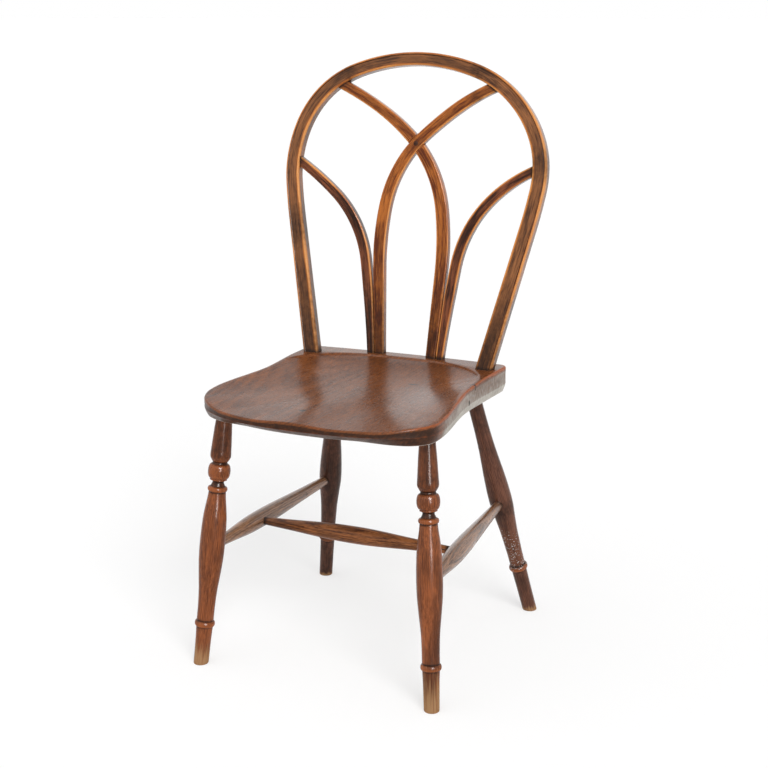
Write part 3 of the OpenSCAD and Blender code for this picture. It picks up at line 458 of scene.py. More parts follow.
def front_marks(legs, length):
    slim, fat, top = legs.front_waist_d, legs.front_swell_d, legs.top_d
    ball_at = length - legs.ball_drop
    ball_foot = ball_at - legs.ball_h / 2
    bead_at, neck_at = ball_at - legs.bead_drop, ball_at + legs.neck_rise
    return (
        foot_marks(legs, legs.front_ring_at, slim)
        + curve(
            swelling(legs.front_ring_at, legs.front_swell_at, slim, fat,
                     [(0.045, 0), (0.21, 0.02), (0.4, 0.2), (0.585, 0.57), (0.79, 0.92), (1, 1)])
            + swelling(legs.front_swell_at, bead_at, slim, fat,
                       [(0.41, 0.84), (0.625, 0.55), (0.82, 0.18), (0.95, 0)])
        )
        + bead(bead_at, legs.bead_h, slim, legs.bead_d)
        + curve(swelling(bead_at, ball_foot, slim, legs.cove_d, [(0.29, 0.5), (0.65, 1), (0.82, 0.55)]))
        + swelling(bead_at, ball_foot, slim, legs.cove_d, [(0.85, 0), (0.94, 0.05)])
        + bead(ball_at, legs.ball_h, slim, legs.ball_d)
        + curve(
            swelling(ball_at, neck_at, legs.neck_d, legs.vase_d, [(0.86, 0.15), (1, 0)])
            + swelling(neck_at, length, legs.neck_d, legs.vase_d, [(0.037, 0.4), (0.11, 1)])
            + swelling(neck_at, length, top, legs.vase_d,
                       [(0.245, 0.91), (0.495, 0.6), (0.69, 0.32), (0.84, 0.08)])
            + [(length, top)]
        )
    )


def rear_marks(legs, length):
    slim, fat, top = legs.rear_waist_d, legs.rear_swell_d, legs.top_d
    return foot_marks(legs, legs.rear_ring_at, slim) + curve(
        swelling(legs.rear_ring_at, legs.rear_swell_at, slim, fat,
                 [(0.045, 0), (0.18, 0), (0.315, 0.11), (0.475, 0.23), (0.585, 0.39), (0.745, 0.7), (0.9, 1)])
        + swelling(legs.rear_swell_at, length, slim, fat,
                   [(0.065, 1), (0.225, 0.73), (0.33, 0.47), (0.46, 0.17)])
        + swelling(legs.rear_swell_at, length, slim, top, [(0.64, 0.4)])
        + [(length, top - 0.4 * MM)]
    )


def stretcher_marks(start, end, start_neck, end_neck, end_d, swell_d, swell_at):
    return [(start, end_d), (start_neck, end_d)] + curve([
        (start_neck + 0.1 * MM, end_d),
        (mix(start_neck, swell_at, 0.3), mix(end_d, swell_d, 0.34)),
        (mix(start_neck, swell_at, 0.7), mix(end_d, swell_d, 0.86)),
        (swell_at, swell_d),
        (mix(swell_at, end_neck, 0.22), mix(end_d, swell_d, 0.9)),
        (mix(swell_at, end_neck, 0.6), mix(end_d, swell_d, 0.42)),
        (end_neck - 0.1 * MM, end_d),
    ], steps=12) + [(end_neck, end_d), (end, end_d)]


# How far a turning stands out or sinks in, beside its neighbours, for one unit of wear with its painted
# highlight, or of grime
HUMP = 0.7 * MM
# The ends of a leg are sheared over this length to the level of the floor and of the seat
LEG_FADE = 30 * MM
# Facets round a turned piece, round a tenon of the hoop and round the pin
TURNED_FACETS, TENON_FACETS, PIN_FACETS = 40, 24, 28


def turned_skin(
    start, end, marks, grain_shift, cuts=None, ring_at=0.0, bare_reach=0.0, darkening=0.0, mouths=(),
):
    """Skin of a turned piece from start towards end.

    cuts are the heights of the level planes to which the ends of a leg are cut, and with them come
    ring_at, the distance of the ring whose lower half is worn, bare_reach, the height of the rubbed
    foot, and a painted shade over the top of the leg under the seat. darkening is the painted shade all
    over the piece, and each of mouths the (distance, strength, reach) of grime round a joint.
    """
    way = (end - start).normalized()
    across, beside = square_to(way)
    length = (end - start).length
    skin = Skin()
    for s, d in marks:
        r = d / 2
        mean_r = sum(lookup(s + k * 2.5 * MM, marks) for k in (-2, -1, 1, 2)) / 8
        hump = (r - mean_r) / HUMP
        worn, bare = 0.55 * held(hump * 0.6), 0.0
        dark = [darkening, 0.8 * held(-0.6 * hump)]
        dark += [strength * near(s - at, reach) for at, strength, reach in mouths]
        if cuts:
            worn = max(worn, near(s - ring_at + 2.5 * MM, 3.5 * MM))
            bare = 0.9 * near(max(s, 0), bare_reach)
            # Painted shade: a leg darkens over its top quarter under the seat, and most just below the seat.
            dark += [0.55 * eased((s - 0.74 * length) / (0.1 * length)), near(length - s, 10 * MM)]
        ring, wood = [], []
        for c, n in circle(TURNED_FACETS):
            out = across * (r * c) + beside * (r * n)
            run = s
            if cuts:
                run += (cuts[0] - start.z - out.z) / way.z * (1 - eased(s / LEG_FADE))
                top_run = (cuts[1] - start.z - out.z) / way.z - length
                run += top_run * eased((s - length + LEG_FADE) / LEG_FADE)
            ring.append(start + way * run + out)
            wood.append((r * c + grain_shift[0], r * n + grain_shift[1], s + grain_shift[2]))
        skin.add(ring, wood, worn=worn, grime=max(dark), bare=bare)
    return skin


def side_x(point, side):
    return Vector((point.x * side, point.y, point.z))


class LegPlaces:
    """Feet, tops and stretcher ends, measured from the middle of the feet, for either side."""

    def __init__(self, scene):
        seat, legs, stretchers = scene.chair_seat, scene.chair_legs, scene.chair_stretchers
        bottom = seat.height - seat.thickness
        self.bottom = bottom
        self.front_top = Vector((
            seat.front_w / 2 - legs.front_side, seat.set_back - seat.depth + legs.front_in, bottom,
        ))
        self.rear_top = Vector((seat.back_w / 2 - legs.rear_side, seat.set_back - legs.rear_in, bottom))
        self.front_foot = Vector((self.front_top.x + legs.front_splay, -legs.depth / 2, 0))
        self.rear_foot = Vector((self.rear_top.x + legs.rear_splay, legs.depth / 2, 0))
        self.side_front = self.front_foot.lerp(self.front_top, stretchers.front_z / bottom)
        self.side_rear = self.rear_foot.lerp(self.rear_top, stretchers.rear_z / bottom)
        self.cross = self.side_front.lerp(self.side_rear, stretchers.cross_share)


# Bent pieces. A station is (across, up, lean from the upright, length so far)
def went(p, run):
    """The station at the end of a straight run from station p."""
    return (p[0] + run * math.sin(p[2]), p[1] + run * math.cos(p[2]), p[2], p[3] + run)


def bent(p, r, turned_by):
    """The station at the end of a bend from station p."""
    lean, way = p[2] + turned_by, math.copysign(1, turned_by)
    return (
        p[0] + way * r * (math.cos(p[2]) - math.cos(lean)),
        p[1] + way * r * (math.sin(lean) - math.sin(p[2])),
        lean,
        p[3] + r * abs(turned_by),
    )


def stations_along(start, moves, step=4.5 * MM):
    """Stations through straight runs, given as (run,), and bends, given as (radius, turn)."""
    stations = [start]
    for move in moves:
        p = stations[-1]
        length = move[0] if len(move) == 1 else move[0] * abs(move[1])
        count = max(1, round(length / step))
        for i in range(1, count + 1):
            if len(move) == 1:
                stations.append(went(p, move[0] * i / count))
            else:
                stations.append(bent(p, move[0], move[1] * i / count))
    return stations


def bend_to(p, goal):
    """The bend that leads from station p to the point goal."""
    half = math.atan2(goal[0] - p[0], goal[1] - p[1]) - p[2]
    chord = math.hypot(goal[0] - p[0], goal[1] - p[1])
    return (chord / (2 * math.sin(abs(half))), 2 * half)


def section_points(low, high, thick, arris, groove=None):
    """Points round a bar from its outer edge, as (across, depth behind the front face)."""
    corner_steps, face_steps, edge_steps = 6, 9, 4
    crown = 0.25 * MM
    corners = [
        (high - arris, arris, 0), (low + arris, arris, 90),
        (low + arris, thick - arris, 180), (high - arris, thick - arris, 270),
    ]
    points = []
    for n, (x, y, begin) in enumerate(corners):
        for i in range(corner_steps + 1):
            a = math.radians(begin + 90 * i / corner_steps)
            points.append((x + arris * math.cos(a), y - arris * math.sin(a)))
        here = points[-1]
        x, y, begin = corners[(n + 1) % 4]
        a = math.radians(begin)
        there = (x + arris * math.cos(a), y - arris * math.sin(a))
        steps = face_steps if n % 2 == 0 else edge_steps
        shares = [i / steps for i in range(1, steps)]
        if groove and n == 0:
            wide = here[0] - there[0]
            middle = (here[0] - high + groove[0]) / wide
            half = groove[1] / wide
            shares = [middle + half * k for k in (-1.2, -0.6, 0, 0.6, 1.2)]
            shares += [mix(middle + 1.6 * half, 1, i / steps) for i in range(steps)]
        for s in shares:
            px, py = mix(here[0], there[0], s), mix(here[1], there[1], s)
            swell = crown * math.sin(math.pi * s)
            if n == 0:
                py += crown - swell
                if groove:
                    py += groove[1] * held(1 - abs(s - middle) / half / 1.2)
            elif n == 2:
                py -= crown - swell
            points.append((px, py))
    return points


def section_marks(points, low, high, thick, strengths, groove=None, reach=2.3 * MM):
    """How worn, and so how strongly painted with a highlight, how grimy and how glossy each point of a
    section is.
    """
    corners = [(high, 0), (low, 0), (low, thick), (high, thick)]
    worn, grime, sheen = [], [], []
    for x, y in points:
        worn.append(max(
            strength * near(math.hypot(x - cx, y - cy) - 0.4 * reach, reach)
            for strength, (cx, cy) in zip(strengths, corners)
        ))
        dark = near(x - high + groove[0], 0.7 * MM) if groove and y < thick / 4 else 0
        grime.append(0.85 * dark)
        sheen.append(0.9 * held(1.2 - min(x - low, high - x) / (1.2 * MM)))
    return worn, grime, sheen


class BackPlaces:
    """The planes of the hoop and of the arcs, and where the arcs land on the hoop."""

    def __init__(self, scene):
        seat, hoop, arcs = scene.chair_seat, scene.chair_hoop, scene.chair_arcs
        self.seat, self.hoop, self.arcs = seat, hoop, arcs
        self.hoop_plane = Matrix.Translation((0, seat.set_back - hoop.set_in, seat.height)) @ (
            Matrix.Rotation(-hoop.rake, 4, "X")
        )
        start = (hoop.feet_w / 2, 0, hoop.lean, 0)
        self.bends = [start, went(start, hoop.straight)]
        self.bends.append(bent(self.bends[-1], hoop.waist_r, -hoop.waist_turn))
        self.bends.append(bent(self.bends[-1], hoop.shoulder_r, -hoop.shoulder_turn))
        crown_from = self.bends[-1]
        crown_r = crown_from[0] / math.cos(crown_from[2])
        half = stations_along(start, [
            (hoop.straight,), (hoop.waist_r, -hoop.waist_turn), (hoop.shoulder_r, -hoop.shoulder_turn),
            (crown_r, -(math.pi / 2 + crown_from[2])),
        ], step=6 * MM)
        self.half_length = half[-1][3]
        self.hoop_stations = half + [
            (-x, z, -math.pi - lean, 2 * self.half_length - done) for x, z, lean, done in half[-2::-1]
        ]
        arc_y = seat.set_back - arcs.set_in
        landing = self.hoop_plane @ self.landing(arcs.long_landing)
        back, up = landing.y - arc_y, landing.z - seat.height
        rake = math.atan2(back, up) - math.asin(arcs.thick / 2 / math.hypot(back, up))
        self.arc_rake = rake
        self.arc_plane = Matrix.Translation((0, arc_y, seat.height)) @ Matrix.Rotation(-rake, 4, "X")
        self.arc_to_hoop = self.hoop_plane.inverted() @ self.arc_plane
        self.hoop_to_arc = self.arc_to_hoop.inverted()
        tip = self.hoop_to_arc @ self.landing(arcs.long_landing)
        self.long_tip = (-tip.x, tip.z)
        self.long_stations = long_stations(self)
        self.crossing = crossing_height(self.long_stations)

    def hoop_width(self, done):
        share = min(done, 2 * self.half_length - done) / self.half_length
        hoop = self.hoop
        return lookup(share, [(0, hoop.foot_w), (0.8, hoop.shoulder_w), (1, hoop.crown_w)])

    def rack_at(self, z, rake):
        """How far the hoop leans to the left at a place in a plane that rakes back."""
        hoop = self.hoop
        return hoop.rack * eased((z * math.cos(rake) - hoop.rack_from) / (hoop.rack_to - hoop.rack_from))

    def racked_hoop(self, p):
        return Vector((p.x - self.rack_at(p.z, self.hoop.rake), p.y, p.z))

    def racked_long(self, p, side):
        """Above the crossing a long arc leans with the hoop. side is where it stands."""
        start, end = self.crossing + self.arcs.rack_clear, self.long_tip[1] - self.arcs.rack_clear / 2
        lean = self.rack_at(p.z, self.arc_rake) * eased((p.z - start) / (end - start))
        return Vector((p.x - side * lean, p.y, p.z))

    def landing(self, lean):
        """The middle of the hoop's inner edge where the hoop leans that much, on the right side."""
        from_bend = self.bends[2]
        edge = bent(from_bend, self.hoop.shoulder_r, -(from_bend[2] + lean))
        return ring_point(edge, (-self.hoop_width(edge[3]), self.hoop.thick / 2))


def ring_point(station, q, on=0.0):
    """A point of a section at a station, in its plane, with y as the depth behind the front face."""
    x, z, lean, _ = station
    return Vector((
        x + q[0] * math.cos(lean) + on * math.sin(lean),
        q[1],
        z - q[0] * math.sin(lean) + on * math.cos(lean),
    ))


# The ends of a bar are sheared over END_FADE to meet what they stand against, and sink in by SINK.
# SPARE keeps the smooth outer edge of the hoop within the solid's flat facets.
END_FADE = 24 * MM
SINK = 0.4 * MM
SPARE = 0.08 * MM
# How far the black darkening reaches round a foot, and the strength and reach of the dark wood at a tip
CONTACT = 8 * MM
TIP_SMOKE = (0.55, 30 * MM)


def foot_run(station, q, rake):
    """How far a point of a foot moves along its bar to meet the deck, where its plane rakes back."""
    up = station[1] - q[0] * math.sin(station[2])
    return (q[1] * math.tan(rake) - SINK / math.cos(rake) - up) / math.cos(station[2])


def bar_skin(
    stations, section_at, plane, side, grain_shift, foot, tip, shape, darkening, both_feet=False, darks=(),
):
    """Skin of a bent bar.

    section_at gives the points of the section at a distance along the bar, and their marks. foot and
    tip give how far a point moves along the bar at its first and last station, and shape moves a
    point within the plane. darkening is (strength, reach) of the darkening towards its feet, and each of
    darks is (distance along the bar, strength, reach) of a dark patch.
    """
    total = stations[-1][3]
    end_smoke, end_contact = (darkening, CONTACT) if both_feet else (TIP_SMOKE, CONTACT / 2)
    skin = Skin()
    for station in stations:
        done = station[3]
        points, worn, grime, sheen = section_at(done)
        start_share = eased(1 - done / END_FADE)
        end_share = held(1 - (total - done) / END_FADE)
        ring = []
        for q in points:
            p = shape(ring_point(station, q, foot(q) * start_share + tip(q) * end_share))
            ring.append(plane @ Vector((p.x * side, p.y, p.z)))
        contact = max(near(done, CONTACT), near(total - done, end_contact))
        dark = max(
            contact, darkening[0] * near(done, darkening[1]), end_smoke[0] * near(total - done, end_smoke[1]),
            *(strength * near(done - at, patch) for at, strength, patch in darks),
        )
        skin.add(
            ring, [(q[0] + grain_shift[0], q[1] + grain_shift[1], done + grain_shift[2]) for q in points],
            worn=worn, grime=[max(g, dark) for g in grime],
            sheen=[s * (1 - held(1.4 * contact)) for s in sheen],
        )
    return skin


def cope_run(back, point, way, landing_lean, side):
    """How far along way the hoop's curved inner edge lies from a point, both in the arcs' plane."""
    out = Vector((side * math.cos(landing_lean), 0, math.sin(landing_lean)))
    landing = back.landing(landing_lean)
    landing.x *= side
    at = back.arc_to_hoop @ point - landing
    on = back.arc_to_hoop.to_3x3() @ way
    flat = -out.dot(at) / out.dot(on)
    beside = math.hypot(at.x + flat * on.x, at.z + flat * on.z)
    inner_r = back.hoop.shoulder_r - back.hoop.shoulder_w
    return flat - (beside ** 2 / (2 * inner_r) - SINK) / out.dot(on)


# Shader maths
class Wire:
    """A value, colour or vector on its way through a finish; sums add Math nodes."""

    def __init__(self, finish, socket):
        self.finish, self.socket = finish, socket

    def _sum(self, operation, first, second):
        return self.finish.node("ShaderNodeMath", {"operation": operation}, {0: first, 1: second})

    def __add__(self, other):
        return self._sum("ADD", self, other)

    __radd__ = __add__

    def __sub__(self, other):
        return self._sum("SUBTRACT", self, other)

    def __rsub__(self, other):
        return self._sum("SUBTRACT", other, self)

    def __mul__(self, other):
        return self._sum("MULTIPLY", self, other)

    __rmul__ = __mul__


class Finish:
    """The nodes of a material or of the sky, with those that the chair's woods share."""

    def __init__(self, owner):
        owner.use_nodes = True
        self.owner, self.tree = owner, owner.node_tree
        self.tree.nodes.clear()

    def node(self, kind, settings=None, inputs=None, output=0):
        """Adds a node, sets it, feeds its sockets, and gives one of its outputs."""
        made = self.tree.nodes.new(kind)
        for key, value in (settings or {}).items():
            setattr(made, key, value)
        for key, value in (inputs or {}).items():
            if isinstance(value, Wire):
                self.tree.links.new(value.socket, made.inputs[key])
            else:
                made.inputs[key].default_value = value
        return Wire(self, made.outputs[output]) if len(made.outputs) else None

    def attribute(self, name, output="Fac"):
        return self.node("ShaderNodeAttribute", {"attribute_name": name}, output=output)

    def scaled(self, vector, scale):
        return self.node("ShaderNodeVectorMath", {"operation": "MULTIPLY"}, {0: vector, 1: scale})

    def moved(self, vector, shift):
        return self.node("ShaderNodeVectorMath", {"operation": "ADD"}, {0: vector, 1: shift})

    def noise(self, vector, scale, detail=3.0, roughness=0.55):
        return self.node(
            "ShaderNodeTexNoise", {},
            {"Vector": vector, "Scale": scale, "Detail": detail, "Roughness": roughness},
        )

    def spot(self, vector, place, reach, ragged):
        """1 within reach of a place, in each direction, with a ragged rim."""
        here = self.moved(self.scaled(vector, tuple(1 / r for r in reach)), tuple(
            -p / r for p, r in zip(place, reach)
        ))
        far = self.node("ShaderNodeVectorMath", {"operation": "LENGTH"}, {0: here}, "Value")
        return 1 - self.step(far + (ragged - 0.5) * 1.2, 0.7, 1.0)

    def step(self, value, low, high):
        """0 below low, 1 above high and eased between."""
        return self.node(
            "ShaderNodeMapRange", {"interpolation_type": "SMOOTHSTEP"},
            {"Value": value, "From Min": low, "From Max": high},
        )

    def blend(self, share, low, high):
        """Colour low where share is 0, and high where it is 1."""
        low, high = [c if isinstance(c, Wire) else (*c, 1) for c in (low, high)]
        return self.node("ShaderNodeMix", {"data_type": "RGBA"}, {0: share, 6: low, 7: high}, 2)

    def close(self, sockets, height, distance):
        """Feeds the shader, with a bump of that height, and joins it to the output."""
        bump = self.node(
            "ShaderNodeBump", {}, {"Height": height, "Distance": distance, "Strength": 1.0}, "Normal",
        )
        shader = self.node("ShaderNodeBsdfPrincipled", {}, {**sockets, "Normal": bump})
        self.node("ShaderNodeOutputMaterial", {}, {"Surface": shader})
        return self.owner


def shades(tints, word):
    """The dark and the light of a wood."""
    return tuple(getattr(tints, f"{word}_dark")), tuple(getattr(tints, f"{word}_light"))


def wood_finish(
    name, tints, dark, light, *, rings=None, figure=0.16, stretch=16, contrast=0.15, patches=0.45,
    patch_run=0.3, wear=1.0, worn_tint=None, thin_tint=None, rough=0.36, gloss=0.0, shine=0.1,
    pores=0.4, coarse=0.8, spots=(), flecks=(), seat_parts=False,
):
    """Old varnished wood: grain along the piece, dark patches, pores, worn edges with a painted highlight,
    and grime with painted shade.

    rings is (pith across, pith depth, ring spacing) of the log that the piece was cut from. shine is
    the specular level of the wood, and gloss the weight of its varnish. Each spot is (place, reach,
    colour), in the frame of the grain, and each of the flecks is (distance along the grain, reach).
    """
    f = Finish(bpy.data.materials.new(name))
    wood = f.attribute("wood", "Vector")
    along = f.scaled(wood, (1, 1, 1 / stretch))
    streaks = f.noise(along, 300, 4.0, 0.62)
    fine = f.noise(along, 950, 3.0, 0.6)
    broad = f.noise(f.scaled(wood, (1, 1, 0.4)), 26, 2.0)
    slow = f.noise(f.scaled(wood, (0.3, 0.3, 1)), 12, 2.0)
    tone = streaks * coarse + fine * 0.5 + broad * 0.4 - (coarse - 0.1) / 2
    if rings:
        log = f.moved(wood, (-rings[0], -rings[1], 0))
        log = f.scaled(log, (1, 1, 0.06))
        year = f.node(
            "ShaderNodeTexWave", {"wave_type": "RINGS", "rings_direction": "Z"},
            {"Vector": log, "Scale": math.pi / (10 * rings[2]), "Distortion": 5.0, "Detail": 2.0,
             "Detail Scale": 14.0, "Detail Roughness": 0.5},
        )
        tone = tone + (year - 0.5) * figure
    colour = f.blend(f.step(tone, 0.5 - contrast, 0.5 + contrast), dark, light)
    patch = f.noise(f.scaled(wood, (1, 1, patch_run)), 40, 3.0) + (streaks - 0.5) * 0.7
    patch = f.step(patch, 0.5, 0.68) * patches
    colour = f.blend(patch, colour, tuple(0.45 * c for c in dark))
    pore = f.step(f.noise(f.scaled(wood, (1, 1, 1 / 26)), 1700, 2.0), 0.6, 0.7)
    colour = f.blend(pore * pores, colour, tints.grime)
    edge = f.attribute("worn") * (slow * 1.5 + 0.2) + (streaks - 0.5) * coarse * 0.7 + (broad - 0.5) * 0.5
    thin = f.step(edge, 0.2, 0.62) * wear
    worn = f.step(edge, 0.55, 0.95) * wear
    colour = f.blend(thin * 0.75, colour, thin_tint or tints.worn_red)
    # Painted highlight: where the arrises are most worn, the golden colour also stands for the light they
    # catch.
    colour = f.blend(worn, colour, worn_tint or tints.worn)
    smut = f.noise(wood, 130, 3.0)
    # Painted shade as well as dirt: the grime mark darkens corners, and also whole legs, the seat's front and
    # the back of its bowl.
    dirt_and_shade = f.step(f.attribute("grime") + (smut - 0.5) * 0.5, 0.25, 0.9) * 0.9
    colour = f.blend(dirt_and_shade, colour, tints.grime)
    bare = f.step(f.attribute("bare") + (streaks - 0.5) * 1.6 + (broad - 0.5) * 0.6, 0.3, 0.95)
    colour = f.blend(bare * 0.8, colour, tints.bare)
    dull = worn * 0.12 + dirt_and_shade * 0.1 + bare * 0.3
    if seat_parts:
        # Dry grey wood of the underside, and on the seat's right side a painted sheen.
        sawn = f.noise(f.scaled(wood, (1, 0.3, 1)), 420, 3.0)
        dry_and_sheen = f.attribute("under") + (broad - 0.5) * 0.6 + (sawn - 0.5) * 0.5
        dry_and_sheen = f.step(dry_and_sheen, 0.15, 0.95)
        dust_and_sheen = f.step(sawn * 0.4 + broad * 0.5 + f.attribute("under") * 0.5 - 0.25, 0.3, 0.75)
        colour = f.blend(dry_and_sheen, colour, f.blend(dust_and_sheen, tints.dust_dark, tints.dust_and_sheen))
        dull = dull + dry_and_sheen * 0.4
    for place, reach, spot_tint in spots:
        colour = f.blend(f.spot(wood, place, reach, smut), colour, spot_tint)
    for run, reach in flecks:
        here = f.spot(wood, (0, 0, run), (9, 9, reach), broad)
        fleck = here * f.step(f.noise(wood, 620, 0.0), 0.72, 0.75)
        colour = f.blend(fleck, colour, tints.fleck)
    roughness = rough + (fine - 0.5) * 0.12 + (smut - 0.5) * 0.2 + dull
    coat = (1 - f.step(dull, 0.02, 0.2)) * (f.attribute("sheen") + gloss)
    height = streaks * 0.5 + fine * 0.35 - pore * 0.5 + smut * 0.3
    return f.close(
        {"Base Color": colour, "Roughness": roughness, "Specular IOR Level": shine, "Coat Weight": coat,
         "Coat Roughness": 0.2},
        height, 0.2 * MM,
    )


# Operators
class CHAIR_OT_seat(bpy.types.Operator):
    """Make the saddled plank"""

    bl_idname = "chair.make_seat"
    bl_label = "Make Seat"

    def execute(self, context):
        scene, tints = context.scene, context.scene.chair_tints
        finish = wood_finish(
            "Seat_elm", tints, *shades(tints, "seat"), rings=(-0.09, 0.17, 4.2 * MM), figure=0.17,
            stretch=10, contrast=0.32, patches=0.15, wear=0.9, worn_tint=tints.worn_seat,
            thin_tint=tints.worn_seat, rough=0.29, gloss=0.06, shine=0.14, pores=0.3, seat_parts=True,
            spots=[(place, reach, tints.grime) for place, reach in DARK_SPOTS],
        )
        make_piece(scene, "Seat", [SeatForm(scene).skin()], finish)
        return {"FINISHED"}


# A dot, a knot and two nicks: the place and the reach of each, as (across, up, back), with places
# measured from the middle of the feet and from the deck
DARK_SPOTS = (
    ((-0.0143, -0.0152, -0.2035), (0.006, 0.01, 0.006)),
    ((0.0687, -0.0143, 0.0037), (0.011, 0.01, 0.0035)),
    ((0.1736, -0.0051, -0.002), (0.02, 0.007, 0.0028)),
    ((0.1742, -0.0256, -0.0269), (0.02, 0.006, 0.003)),
)


class SeatForm:
    """Outline and hollow of the plank, measured from the middle of the feet."""

    middle_share = 0.486
    rim_share = 0.965
    crease_power = 3.5
    crease_run = 5 * MM

    def __init__(self, scene):
        s = scene.chair_seat
        self.s = s
        self.bottom = s.height - s.thickness
        self.front_y = s.set_back - s.depth
        self.waist_y = s.set_back - s.waist_at
        self.corner_back_y = s.set_back - s.rear_bow - s.corner_r
        self.rear_end_x = s.back_w / 2 - s.corner_r
        self.side_top_y = self.rear_y(self.rear_end_x) - s.corner_r
        self.middle = Vector((0, mix(s.set_back, self.front_y, self.middle_share)))
        self.level_y = s.set_back - s.fall_from
        self.pommel_y = self.front_y + s.pommel_l
        left = [Vector((-p.x, p.y)) for p in self.half_outline(-1)]
        self.outline = self.half_outline(1) + left[-2:0:-1]
        count = len(self.outline)
        self.inward = []
        for i in range(count):
            way = (self.outline[(i + 1) % count] - self.outline[i - 1]).normalized()
            self.inward.append(Vector((way.y, -way.x)))

    def corner_front_y(self, x):
        return self.front_y + (self.s.left_round if x < 0 else self.s.front_round)

    def half_width(self, y, corner_y):
        s = self.s
        if y > self.waist_y:
            share = eased((y - self.waist_y) / (self.corner_back_y - self.waist_y))
            return mix(s.waist_w, s.back_w, share) / 2
        share = eased((self.waist_y - y) / (self.waist_y - corner_y))
        return mix(s.waist_w, s.front_w, share) / 2

    def rear_y(self, x):
        s = self.s
        return s.set_back - s.rear_bow * (x / (s.back_w / 2)) ** 2

    def half_outline(self, side):
        """Points from the middle of the rear edge round to the front, for one side seen as the right."""
        s, end_x, top_y = self.s, self.rear_end_x, self.side_top_y
        corner_y = self.corner_front_y(side)
        rear_steps, corner_steps, side_steps, front_steps = 22, 8, 46, 56
        half = [Vector((end_x * i / rear_steps, self.rear_y(end_x * i / rear_steps)))
                for i in range(rear_steps + 1)]
        for i in range(1, corner_steps + 1):
            a = math.pi / 2 * (1 - i / corner_steps)
            half.append(Vector((end_x + s.corner_r * math.cos(a), top_y + s.corner_r * math.sin(a))))
        for i in range(1, side_steps + 1):
            y = mix(top_y, corner_y, i / side_steps)
            half.append(Vector((self.half_width(y, corner_y), y)))
        power = 2 / s.front_square
        for i in range(1, front_steps + 1):
            a = math.pi / 2 * i / front_steps
            x = s.front_w / 2 * max(0.0, math.cos(a)) ** power
            half.append(Vector((x, mix(corner_y, self.front_y, math.sin(a) ** power))))
        return half

    def pommel(self, p):
        s = self.s
        if abs(p.x) > s.pommel_w / 2:
            return 0
        across = math.cos(math.pi * p.x / s.pommel_w) ** 2
        return s.pommel_h * across * eased((self.pommel_y - p.y) / (0.6 * s.pommel_l))

    def edge_depth(self, q):
        s = self.s
        side = s.edge_fall * held((self.level_y - q.y) / (self.level_y - self.corner_front_y(1)))
        if q.y >= self.corner_front_y(q.x):
            return side
        front = eased((s.front_w / 2 - abs(q.x)) / s.thigh_run)
        return mix(side, s.thigh, front) - self.pommel(q)

    def bowl(self, p):
        s = self.s
        return mix(s.bowl, s.thigh, eased((self.pommel_y - p.y) / s.pommel_l)) - self.pommel(p)

    def behind_crease(self, q, share):
        s = self.s
        p = self.middle.lerp(q, share)
        reach = (abs(p.x) / (s.back_w / 2)) ** self.crease_power
        return p.y > s.set_back - s.deck - s.crease_sweep * reach

    def crease_share(self, q):
        if not self.behind_crease(q, 1):
            return self.rim_share
        low, high = 0.0, 1.0
        for _ in range(18):
            half = (low + high) / 2
            if self.behind_crease(q, half):
                high = half
            else:
                low = half
        return min(self.rim_share, (low + high) / 2)

    def chamfer_run(self, q):
        s = self.s
        if q.y >= self.corner_front_y(q.x):
            return mix(s.chamfer_side, s.chamfer_back, eased((q.y - self.side_top_y) / s.corner_r))
        return mix(s.chamfer_side, s.chamfer_front, eased((s.front_w / 2 - abs(q.x)) / s.chamfer_spread))

    def skin(self):
        """Rings from the underside up the edge and over the top to the middle, with their marks."""
        s = self.s
        skin = Skin()

        def sheen(p):
            """Polish on the deck and where sitters have rubbed the middle and the right of the bowl."""
            deck = near(max(0, s.set_back - s.deck - p[1]), 12 * MM)
            right = near(math.hypot((p[0] - 0.125) / 0.6, p[1] + 0.08), 100 * MM)
            left = near(math.hypot(p[0] + 0.07, p[1] + 0.17), 70 * MM)
            return max(0.36 * deck, 0.62 * right, 0.2 * left)

        def add(ring, **marks):
            skin.add(ring, [(p[0], p[2] - s.height, p[1]) for p in ring], **{
                key: [value(p) if callable(value) else value for p in ring] for key, value in marks.items()
            })

        shares = [self.crease_share(q) for q in self.outline]
        deck_shares = [eased((self.rim_share - share) / 0.1) for share in shares]
        rim_z = [s.height - self.edge_depth(q) for q in self.outline]

        def at_edge(run, z):
            return [
                (q.x + n.x * run(q), q.y + n.y * run(q), z(i))
                for i, (q, n) in enumerate(zip(self.outline, self.inward))
            ]

        def beside(p):
            """0 at the front and 1 along the sides and the back."""
            return eased((p[1] - self.corner_front_y(p[0]) + 20 * MM) / (60 * MM))

        def dry_and_sheen(p, most, least):
            """How dry and grey the wood is beside and behind: most on the right, where the varnish is gone
            and the grey also paints a sheen.
            """
            return beside(p) * mix(least, most, eased((p[0] - 0.13) / 0.03))

        for share in (1.9, 1.35, 1.12, 1):
            add(at_edge(lambda q: self.chamfer_run(q) * share, lambda i: self.bottom), under=1.0)
        # Painted shade darkens the chamfer along the front; beside and behind it turns dry grey.
        for t in (0.12, 0.3, 0.5, 0.7, 0.88):
            bulge = 0.9 * MM * math.sin(math.pi * t)
            add(
                at_edge(
                    lambda q: self.chamfer_run(q) * (1 - t) - bulge * 0.5,
                    lambda i: self.bottom + s.chamfer_h * t - bulge * 0.5,
                ),
                under=lambda p: dry_and_sheen(p, 0.85, 0.5), grime=lambda p: 0.68 * (1 - beside(p)),
            )
        wave = 0.5 * MM

        def rough_side(i, height):
            q = self.outline[i]
            return wave * held(0.5 + noise.noise(Vector((q.x * 40, q.y * 40, height * 60 + 7))))

        low_z = self.bottom + s.chamfer_h
        arris = [
            s.arris_r * (1 + 0.3 * noise.noise(Vector((q.x * 30, q.y * 30, 3.1)))) for q in self.outline
        ]
